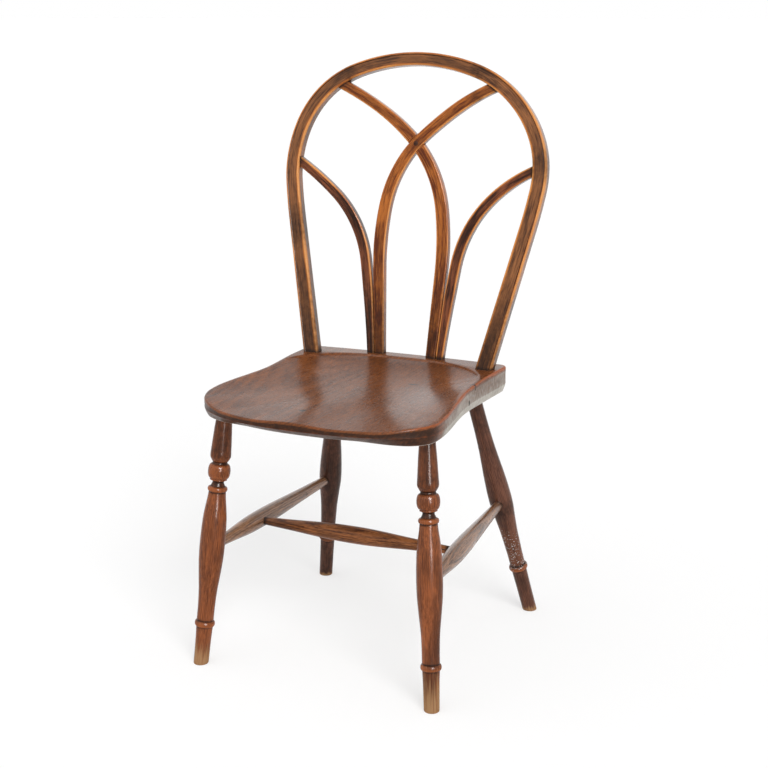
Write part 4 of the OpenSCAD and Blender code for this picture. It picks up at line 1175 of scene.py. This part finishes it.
        # Painted shade darkens the front face; beside and behind it turns dry grey, with a painted sheen on
        # the right.
        for t, worn in ((0, 0.8), (0.08, 0.5), (0.3, 0), (0.55, 0), (0.8, 0.1)):
            ring = []
            for i, (q, n) in enumerate(zip(self.outline, self.inward)):
                z = mix(low_z, rim_z[i] - arris[i], t)
                run = rough_side(i, t) * math.sin(math.pi * held(t + 0.08))
                ring.append((q.x + n.x * run, q.y + n.y * run, z))
            add(
                ring, worn=lambda p: worn * (1 - 0.7 * beside(p)), grime=lambda p: 0.74 * (1 - beside(p)),
                under=lambda p: dry_and_sheen(p, 0.66, 0.22),
            )

        def rubbed(p):
            """How much sitters have rubbed the upper arris, most on the right."""
            return mix(0.3, 0.85, eased(p[0] / 0.12) * eased((p[1] - self.front_y - 15 * MM) / (40 * MM)))

        for k in range(7):
            a = math.pi / 2 * k / 6
            ring = [
                (
                    q.x + n.x * arris[i] * (1 - math.cos(a)),
                    q.y + n.y * arris[i] * (1 - math.cos(a)),
                    rim_z[i] - arris[i] * (1 - math.sin(a)),
                )
                for i, (q, n) in enumerate(zip(self.outline, self.inward))
            ]
            add(ring, worn=lambda p: rubbed(p) * (0.6 + 0.4 * math.sin(2 * a)))

        def top_point(i, share, drop):
            p = self.middle.lerp(self.outline[i], share)
            return (p.x, p.y, s.height - drop)

        lips = []
        for i, q in enumerate(self.outline):
            run = self.crease_run / (q - self.middle).length
            lips.append(shares[i] + run * deck_shares[i])
        for t in (1, 0.8, 0.6, 0.4, 0.2, 0):
            add(
                [top_point(i, mix(lips[i], 0.98, t), s.height - rim_z[i]) for i in range(len(lips))],
                worn=0.35 if t == 1 else 0.0, sheen=sheen,
            )
        for t in (0.75, 0.5, 0.25):
            ring = []
            for i, q in enumerate(self.outline):
                share = mix(shares[i], lips[i], t)
                drop = self.edge_depth(q) + s.crease_drop * deck_shares[i] * (1 - eased(t))
                ring.append(top_point(i, share, drop))
            add(ring, worn=0.25 if t == 0.75 else 0.0, sheen=sheen)
        # Painted shade darkens the back of the bowl towards the crease.
        for t in [1 - (k / 30) ** 1.15 for k in range(30)]:
            ring = []
            for i, q in enumerate(self.outline):
                crease_depth = self.edge_depth(q) + s.crease_drop * deck_shares[i]
                p = self.middle.lerp(q, shares[i] * t)
                ring.append(top_point(i, shares[i] * t, mix(self.bowl(p), crease_depth, t ** 3)))
            add(ring, grime=lambda p: 0.5 * near(s.set_back - s.deck - p[1], 75 * MM), sheen=sheen)
        return skin


class CHAIR_OT_hoop(bpy.types.Operator):
    """Make the bent hoop with its round tenons"""

    bl_idname = "chair.make_hoop"
    bl_label = "Make Hoop"

    def execute(self, context):
        scene, tints = context.scene, context.scene.chair_tints
        back, hoop = BackPlaces(scene), scene.chair_hoop
        groove = (hoop.bead_w + hoop.groove, hoop.groove)

        def section_at(done):
            width = back.hoop_width(done)
            points = section_points(-width, -SPARE, hoop.thick, hoop.arris, groove)
            left = eased(done / back.half_length - 1.4)
            low = held(2 * abs(done / back.half_length - 1))
            worn, grime, sheen = section_marks(
                points, -width, 0, hoop.thick, (mix(0.7, 1.1, low), mix(0.8, 1.2, low), 0.6, 0.7), groove,
                reach=mix(2.7 * MM, 3.6 * MM, left),
            )
            for i, (across, depth) in enumerate(points):
                if depth < hoop.thick / 2:
                    worn[i] = max(worn[i], mix(0.5, 0.75, low) * held(1.7 + across / hoop.bead_w))
            return points, worn, grime, sheen

        first, last = back.hoop_stations[0], back.hoop_stations[-1]
        mirrored = (-last[0], last[1], hoop.lean, 0)
        bar = bar_skin(
            back.hoop_stations, section_at, back.hoop_plane, 1, (0.0, 0.0, 0.4),
            foot=lambda q: foot_run(first, q, hoop.rake),
            tip=lambda q: -foot_run(mirrored, q, hoop.rake),
            shape=back.racked_hoop, darkening=(0.62, 190 * MM), both_feet=True,
            darks=[(at * MM, strength, patch * MM) for at, strength, patch in HOOP_DARKS],
        )
        finish = wood_finish(
            "Hoop_wood", tints, *shades(tints, "hoop"), stretch=20, contrast=0.17, patches=0.5,
            patch_run=0.12, gloss=0.08, pores=0.5,
        )
        tenons = [tenon_skin(back, side) for side in SIDES.values()]
        make_piece(scene, "Hoop", [bar, *tenons], finish)
        return {"FINISHED"}


# Dark patches of the hoop, from its right foot: distance along it in mm, strength and reach in mm
HOOP_DARKS = ((330, 0.6, 45), (528, 0.62, 28), (768, 0.55, 20), (1075, 0.62, 60), (930, 0.4, 25))


def hoop_axis(back, side):
    """Where the middle of a foot of the hoop meets the deck, and the way down its tenon."""
    hoop = back.hoop
    start = ring_point(back.bends[0], (-hoop.foot_w / 2, hoop.thick / 2))
    way = back.hoop_plane.to_3x3() @ Vector((math.sin(hoop.lean), 0, math.cos(hoop.lean)))
    start = back.hoop_plane @ start
    return side_x(start, side), side_x(-way, side)


def tenon_skin(back, side):
    """The round tenon of a foot of the hoop, down to the underside of the seat."""
    seat, hoop = back.seat, back.hoop
    start, way = hoop_axis(back, side)
    across, beside = square_to(way)
    r, low, bevel = hoop.tenon_d / 2, seat.height - seat.thickness - hoop.proud, 0.3 * MM
    skin = Skin()
    for level, radius in ((seat.height - 1 * MM, r), (low + bevel, r), (low, r - bevel)):
        ring, wood = [], []
        for c, n in circle(TENON_FACETS):
            base = start + (across * (radius * c) + beside * (radius * n))
            ring.append(base + way * ((level - base.z) / way.z))
            wood.append((radius * c, radius * n, level * 0.1))
        skin.add(ring, wood, grime=0.45, bare=0.3)
    return skin


class CHAIR_OT_wedges(bpy.types.Operator):
    """Make the wedges that spread the tenons of the hoop under the seat"""

    bl_idname = "chair.make_wedges"
    bl_label = "Make Wedges"

    def execute(self, context):
        scene, tints = context.scene, context.scene.chair_tints
        back, hoop, seat = BackPlaces(scene), scene.chair_hoop, scene.chair_seat
        finish = wood_finish(
            "Wedge_wood", tints, tuple(0.7 * c for c in tints.bare), tuple(tints.bare),
            patches=0.2, wear=0.3, rough=0.6, shine=0.3,
        )
        low = seat.height - seat.thickness - hoop.proud - 0.15 * MM
        skins = []
        for side in SIDES.values():
            start, way = hoop_axis(back, side)
            middle = start + way * ((low - start.z) / way.z)
            long = hoop.tenon_d / 2 - 0.2 * MM
            skin = Skin()
            for up, shrink in ((0, 0.25 * MM), (0.2 * MM, 0), (3 * MM, 0)):
                half_t, half_l = hoop.wedge_t / 2 - shrink, long - shrink
                corners = [
                    (x, y, up)
                    for x, y in ((-half_t, -half_l), (half_t, -half_l), (half_t, half_l), (-half_t, half_l))
                ]
                skin.add([middle + Vector(corner) for corner in corners], corners)
            skins.append(skin)
        make_piece(scene, "Hoop_wedges", skins, finish)
        return {"FINISHED"}


class CHAIR_OT_arcs(bpy.types.Operator):
    """Make the long arcs that cross and the short arcs beside them"""

    bl_idname = "chair.make_arcs"
    bl_label = "Make Arcs"

    def execute(self, context):
        scene, tints = context.scene, context.scene.chair_tints
        back = BackPlaces(scene)
        look = dict(stretch=18, contrast=0.13, patch_run=0.16, gloss=0.12)
        long_finish = wood_finish(
            "Long_arc_wood", tints, *shades(tints, "long"), patches=0.5, rough=0.32, **look,
        )
        short_finish = wood_finish(
            "Short_arc_wood", tints, *shades(tints, "short"), patches=0.7, rough=0.34, pores=0.5, **look,
        )
        for word, side in SIDES.items():
            self.long_arc(scene, back, word, side, long_finish)
            self.short_arc(scene, back, word, side, short_finish)
        return {"FINISHED"}

    def section(self, back, width, strengths):
        arcs = back.arcs
        points = section_points(-width / 2, width / 2, arcs.thick, arcs.arris)
        return points, *section_marks(points, -width / 2, width / 2, arcs.thick, strengths, reach=2 * MM)

    def long_arc(self, scene, back, word, side, finish):
        arcs, stations = back.arcs, back.long_stations
        end = stations[-1]
        lap_at = next(done for x, _, _, done in stations if x <= 0)
        way = Vector((math.sin(end[2]), 0, math.cos(end[2])))
        skin = bar_skin(
            stations,
            lambda done: self.section(back, long_width(back, done), (0.7, 1.1, 0.5, 0.5)),
            back.arc_plane, side, (0.3 * side, 0.0, 0.1),
            foot=lambda q: foot_run(stations[0], q, back.arc_rake),
            tip=lambda q: cope_run(back, ring_point(end, q), way, arcs.long_landing, -1),
            shape=lambda p: back.racked_long(p, side), darkening=(0.66, 190 * MM),
            darks=[(end[3] - 30 * MM, 0.6, 22 * MM), (lap_at, 0.5, 9 * MM)] if side < 0 else (),
        )
        piece = make_piece(scene, f"Long_arc_{word}", [skin], finish)
        halve_crossing(scene, back, piece, side)

    def short_arc(self, scene, back, word, side, finish):
        arcs = back.arcs
        stations, forward, slope = short_stations(back, side)
        end = stations[-1]
        way = Vector((math.sin(end[2]), -slope * math.cos(end[2]), math.cos(end[2])))
        strengths = (0.5, 1.15, 0.6, 0.5) if side < 0 else (0.9, 1.3, 0.6, 0.5)

        def shape(p):
            return Vector((p.x, p.y - forward(p.z), p.z))

        def section_at(done):
            width = lookup(done / end[3], [
                (0, arcs.short_foot_w), (0.3, arcs.short_mid_w - 0.3 * MM), (0.6, arcs.short_mid_w),
                (1, arcs.short_tip_w),
            ])
            return self.section(back, width, strengths)

        skin = bar_skin(
            stations, section_at, back.arc_plane, side, (0.6 * side, 0.1, 0.2),
            foot=lambda q: foot_run(stations[0], q, back.arc_rake),
            tip=lambda q: cope_run(back, shape(ring_point(end, q)), way, arcs.short_landing, 1),
            shape=shape, darkening=(0.7 if side < 0 else 0.0, 170 * MM),
        )
        make_piece(scene, f"Short_arc_{word}", [skin], finish)


def long_stations(back):
    """Stations up the middle of a long arc that stands on the right and lands on the left."""
    arcs = back.arcs
    start = (arcs.long_feet / 2, 0, arcs.long_lean, 0)
    moves = [
        (arcs.long_straight,), (arcs.long_ease_r, -arcs.long_ease_turn),
        (arcs.long_bend_r, -arcs.long_bend_turn),
    ]
    reached = stations_along(start, moves)[-1]
    moves.append(bend_to(reached, back.long_tip))
    return stations_along(start, moves)


def long_width(back, done):
    arcs = back.arcs
    return lookup(done / back.long_stations[-1][3], [
        (0, arcs.long_foot_w), (0.35, arcs.long_mid_w), (0.62, arcs.long_upper_w), (1, arcs.long_tip_w),
    ])


def short_stations(back, side):
    """Stations up the middle of a short arc, its bend forward, and the slope of that bend.

    They are those of an arc on the right, and the left one is bent more sharply.
    """
    arcs = back.arcs
    landing = back.hoop_to_arc @ back.landing(arcs.short_landing)
    start = (arcs.short_feet / 2, 0, arcs.short_lean, 0)
    main = (arcs.short_bend_r, arcs.short_bend_turn)
    if side < 0:
        main = (arcs.left_bend_r, arcs.left_bend_turn)
    moves = [(arcs.short_ease_r, arcs.short_ease_turn), main]
    reached = stations_along(start, moves)[-1]
    moves.append(bend_to(reached, (landing.x, landing.z)))
    total = arcs.thick / 2 - landing.y
    span = landing.z - arcs.forward_from

    def forward(up):
        return total * (max(0.0, up - arcs.forward_from) / span) ** 2

    return stations_along(start, moves), forward, 2 * total / span


def crossing_height(stations):
    """How far up the arcs' plane the long arcs cross."""
    for (x0, z0, *_), (x1, z1, *_) in zip(stations, stations[1:]):
        if x0 > 0 >= x1:
            return mix(z0, z1, x0 / (x0 - x1))
    raise RuntimeError("the long arcs don't cross")


def halve_crossing(scene, back, piece, side):
    """Cuts a long arc to half its thickness where the other one crosses it."""
    arcs = back.arcs
    half, gap, spare = arcs.thick / 2, arcs.lap_gap / 2, 1 * MM
    reach, past_bend = 2.2 * arcs.long_mid_w, -0.3
    low, high = (half - gap, arcs.thick + spare) if side < 0 else (-spare, half + gap)
    rings = []
    for station in back.long_stations:
        if abs(station[0]) < reach and station[2] < past_bend:
            wide = long_width(back, station[3]) / 2 + arcs.lap_gap
            ring = []
            for across, depth in ((wide, low), (-wide, low), (-wide, high), (wide, high)):
                p = ring_point(station, (across, depth))
                ring.append(back.arc_plane @ Vector((-p.x * side, p.y, p.z)))
            rings.append(ring)
    cutter = solid(scene, "crossing_cut", [rings])
    mesh = cutter.data
    cut = piece.modifiers.new("Crossing", "BOOLEAN")
    cut.operation, cut.solver, cut.object = "DIFFERENCE", "EXACT", cutter
    context = bpy.context
    context.view_layer.objects.active = piece
    with context.temp_override(object=piece, active_object=piece):
        bpy.ops.object.modifier_apply(modifier=cut.name)
    bpy.data.objects.remove(cutter)
    bpy.data.meshes.remove(mesh)


class CHAIR_OT_pin(bpy.types.Operator):
    """Make the pin through the crossing"""

    bl_idname = "chair.make_pin"
    bl_label = "Make Crossing Pin"

    def execute(self, context):
        scene, tints = context.scene, context.scene.chair_tints
        back, arcs = BackPlaces(scene), scene.chair_arcs
        r, proud = arcs.pin_d / 2, arcs.pin_proud
        profile = [(-proud, 0.35), (-0.85 * proud, 0.6), (-0.45 * proud, 0.9), (0, 1), (2 * MM, 1),
                   (arcs.thick - 0.4 * MM, 1), (arcs.thick, 0.85)]
        skin = Skin()
        for depth, share in profile:
            ring = [
                back.arc_plane @ Vector((r * share * c, depth, back.crossing + r * share * n))
                for c, n in circle(PIN_FACETS)
            ]
            grime = 0.9 if share == 1 and depth >= 0 else 0.35
            skin.add(ring, [(p.x, p.z, depth) for p in ring], grime=grime)
        finish = wood_finish(
            "Pin_wood", tints, *shades(tints, "pin"), patches=0.2, wear=0.2, rough=0.4,
        )
        make_piece(scene, "Crossing_pin", [skin], finish)
        return {"FINISHED"}


class CHAIR_OT_legs(bpy.types.Operator):
    """Make the four turned legs"""

    bl_idname = "chair.make_legs"
    bl_label = "Make Legs"

    def execute(self, context):
        scene, tints = context.scene, context.scene.chair_tints
        legs, places = scene.chair_legs, LegPlaces(scene)
        look = dict(
            rings=(0.012, 0.02, 2.6 * MM), figure=0.1, stretch=20, contrast=0.32, patches=0.6,
            patch_run=0.25, wear=0.6, worn_tint=tints.worn_leg, thin_tint=tints.worn_leg, rough=0.27,
            gloss=0.4, shine=0.03, pores=0.3, coarse=0.55,
        )
        front = wood_finish("Front_leg_wood", tints, *shades(tints, "leg"), **look)
        # The rear legs' darker tints are partly painted shade.
        rear = wood_finish("Rear_leg_wood", tints, *shades(tints, "rear"), flecks=[(1.92, 0.05)], **look)
        ends = {
            "front": (places.front_foot, places.front_top, front_marks, legs.front_ring_at, front),
            "rear": (places.rear_foot, places.rear_top, rear_marks, legs.rear_ring_at, rear),
        }
        edge = [(0, legs.foot_d - 2.4 * MM), (0.5 * MM, legs.foot_d - 0.8 * MM), (1.6 * MM, legs.foot_d)]
        kinds = [(place, word, side) for place in ends for word, side in SIDES.items()]
        for shift, (place, word, side) in enumerate(kinds):
            foot, top, marks_of, ring_at, finish = ends[place]
            rubbed, darkening = LEG_WEAR_AND_SHADE[place][word]
            start, end = side_x(foot, side), side_x(top, side)
            marks = edge + [m for m in marks_of(legs, (end - start).length) if m[0] > 2 * MM]
            skin = turned_skin(
                start, end, marks, (0.05 * shift, 0.03 * shift, 0.6 * shift),
                cuts=(0.0, places.bottom + SINK), ring_at=ring_at, bare_reach=rubbed * MM, darkening=darkening,
                mouths=[(scene.chair_stretchers.rear_z, 0.6, 30 * MM)] if place == "rear" else (),
            )
            make_piece(scene, f"Leg_{place}_{word}", [skin], finish)
        return {"FINISHED"}


# How high each foot is rubbed bare, in mm, and the painted shade over the whole leg, darkest on the rear left
# one
LEG_WEAR_AND_SHADE = {
    "front": {"left": (38, 0.3), "right": (55, 0.15)},
    "rear": {"left": (8, 0.55), "right": (12, 0.2)},
}


class CHAIR_OT_stretchers(bpy.types.Operator):
    """Make the two side stretchers and the cross stretcher"""

    bl_idname = "chair.make_stretchers"
    bl_label = "Make Stretchers"

    def execute(self, context):
        scene, tints = context.scene, context.scene.chair_tints
        legs, sizes, places = scene.chair_legs, scene.chair_stretchers, LegPlaces(scene)
        look = dict(stretch=30, patches=0.6, patch_run=0.12, worn_tint=tints.worn_leg, coarse=0.6)

        def marks_between(length, start_r, end_r, end_d, swell_d, swell_at):
            """Its form between two pieces of those radii, into which its ends run."""
            mouth = 0.8 * MM
            return stretcher_marks(
                start_r - sizes.bury, length - end_r + sizes.bury, start_r + mouth, length - end_r - mouth,
                end_d, swell_d, swell_at,
            )

        length = (places.side_rear - places.side_front).length
        rear_r = legs.rear_swell_d / 2
        marks = marks_between(
            length, legs.front_swell_d / 2, rear_r, sizes.side_end_d, sizes.side_swell_d,
            length * sizes.cross_share,
        )
        finish = wood_finish(
            "Side_stretcher_wood", tints, *shades(tints, "side"), rings=(0.0, 0.016, 3.2 * MM),
            contrast=0.24, wear=0.5, rough=0.3, gloss=1.0, shine=0.15, **look,
        )
        for word, side in SIDES.items():
            # Painted shade darkens the left side stretcher all over.
            skin = turned_skin(
                side_x(places.side_front, side), side_x(places.side_rear, side), marks,
                (0.4 * side, 0.2, 0.9), mouths=[(length - rear_r, 0.9, 7 * MM)],
                darkening=0.12 - 0.12 * side,
            )
            make_piece(scene, f"Side_stretcher_{word}", [skin], finish)
        start, end = side_x(places.cross, -1), places.cross
        length, side_r = (end - start).length, sizes.side_swell_d / 2
        marks = marks_between(length, side_r, side_r, sizes.cross_end_d, sizes.cross_swell_d, length / 2)
        finish = wood_finish(
            "Cross_stretcher_wood", tints, *shades(tints, "cross"), rings=(0.01, 0.014, 3 * MM),
            wear=0.6, rough=0.34, gloss=0.2, shine=0.12, **look,
        )
        skin = turned_skin(
            start, end, marks, (0.7, 0.5, 1.4),
            mouths=[(side_r, 0.9, 7 * MM), (length - side_r, 0.9, 7 * MM)],
        )
        make_piece(scene, "Cross_stretcher", [skin], finish)
        return {"FINISHED"}


class CHAIR_OT_stage(bpy.types.Operator):
    """Make the floor, the lamps, the sky and the camera"""

    bl_idname = "chair.make_stage"
    bl_label = "Make Stage"

    def execute(self, context):
        scene = context.scene
        studio = scene.chair_studio
        middle = Vector((studio.middle_x, studio.middle_y, studio.middle_z))
        self.camera(scene, studio, middle)
        self.floor(scene, studio)
        for lamp in LAMPS:
            self.sun(scene, *lamp)
        self.sky(scene)
        scene.view_settings.view_transform = "Standard"
        return {"FINISHED"}

    def camera(self, scene, studio, middle):
        data = bpy.data.cameras.new("Camera")
        data.lens, data.sensor_width = studio.lens, 36
        camera = placed(scene, "Camera", data)
        a, e = studio.azimuth, studio.elevation
        back = Vector((math.sin(a) * math.cos(e), -math.cos(a) * math.cos(e), math.sin(e)))
        camera.location = middle + back * studio.distance
        camera.rotation_euler = back.to_track_quat("Z", "Y").to_euler()
        scene.camera = camera

    def floor(self, scene, studio):
        mesh = bpy.data.meshes.new("Floor")
        corners = [(FLOOR_HALF * x, FLOOR_HALF * y, 0) for x, y in ((-1, -1), (1, -1), (1, 1), (-1, 1))]
        mesh.from_pydata(corners, [], [(0, 1, 2, 3)])
        floor = placed(scene, "Floor", mesh)
        f = Finish(bpy.data.materials.new("Floor_paint"))
        paint = f.node(
            "ShaderNodeBsdfDiffuse", {}, {"Color": (*studio.floor, 1), "Roughness": 0.5},
        )
        glow = f.node("ShaderNodeEmission", {}, {"Color": (1, 1, 1, 1), "Strength": 1.0})
        seen = f.node("ShaderNodeLightPath", output="Is Camera Ray")
        both = f.node("ShaderNodeMixShader", {}, {0: seen * studio.floor_glow, 1: paint, 2: glow})
        f.node("ShaderNodeOutputMaterial", {}, {"Surface": both})
        mesh.materials.append(f.owner)

    def sun(self, scene, name, way, spread, strength, lights_all):
        """A broad lamp in the direction of way, as wide as a soft box at its distance."""
        data = bpy.data.lights.new(name, "SUN")
        data.angle, data.energy = math.radians(spread), strength
        lamp = placed(scene, name, data)
        lamp.location = way
        lamp.rotation_euler = Vector(way).to_track_quat("Z", "Y").to_euler()
        lamp.visible_diffuse = lights_all

    def sky(self, scene):
        world = bpy.data.worlds.new("Studio")
        scene.world = world
        f = Finish(world)
        share = f.node("ShaderNodeLightPath", output="Is Camera Ray")
        for ray in ("Is Glossy Ray", "Is Transmission Ray"):
            other = f.node("ShaderNodeLightPath", output=ray)
            share = f.node("ShaderNodeMath", {"operation": "MAXIMUM"}, {0: share, 1: other})
        strength = share * (1 - scene.chair_studio.sky) + scene.chair_studio.sky
        white = f.node("ShaderNodeBackground", {}, {"Color": (1, 1, 1, 1), "Strength": strength})
        f.node("ShaderNodeOutputWorld", {}, {"Surface": white})


# Name, direction, spread in degrees and strength. The last two show only as gloss on the varnish.
LAMPS = (
    ("Key", (0.7, -0.72, 0.75), 30, 1.42, True),
    ("Fill", (-0.9, -0.9, 1.4), 80, 0.62, True),
    ("Glint", (0.613, -0.635, 0.469), 24, 4.5, False),
    ("Strip", (0.69, -0.72, 0.06), 14, 1.3, False),
)
FLOOR_HALF = 400.0


class CHAIR_PT_panel(bpy.types.Panel):
    """Lists the steps that build the chair"""

    bl_label = "Hoop Back Chair"
    bl_space_type = "VIEW_3D"
    bl_region_type = "UI"
    bl_category = "Chair"

    def draw(self, context):
        for operator in OPERATORS:
            self.layout.operator(operator.bl_idname)
        for name in SETTINGS:
            group = getattr(context.scene, name)
            box = self.layout.box()
            box.label(text=group.bl_rna.name)
            for key in group.__annotations__:
                box.prop(group, key)


SETTINGS = {
    "chair_seat": SeatSizes,
    "chair_hoop": HoopSizes,
    "chair_arcs": ArcSizes,
    "chair_legs": LegSizes,
    "chair_stretchers": StretcherSizes,
    "chair_tints": Tints,
    "chair_studio": StudioSizes,
}
OPERATORS = (
    CHAIR_OT_stage, CHAIR_OT_seat, CHAIR_OT_hoop, CHAIR_OT_wedges, CHAIR_OT_arcs, CHAIR_OT_pin,
    CHAIR_OT_legs, CHAIR_OT_stretchers,
)


def register():
    for settings_class in SETTINGS.values():
        bpy.utils.register_class(settings_class)
    for name, settings_class in SETTINGS.items():
        setattr(bpy.types.Scene, name, bpy.props.PointerProperty(type=settings_class))
    for operator in OPERATORS:
        bpy.utils.register_class(operator)
    bpy.utils.register_class(CHAIR_PT_panel)


def unregister():
    bpy.utils.unregister_class(CHAIR_PT_panel)
    for operator in reversed(OPERATORS):
        bpy.utils.unregister_class(operator)
    for name, settings_class in SETTINGS.items():
        delattr(bpy.types.Scene, name)
        bpy.utils.unregister_class(settings_class)


def main():
    register()
    for operator in OPERATORS:
        getattr(bpy.ops.chair, operator.bl_idname.removeprefix("chair."))()
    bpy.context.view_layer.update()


if __name__ == "__main__":
    main()
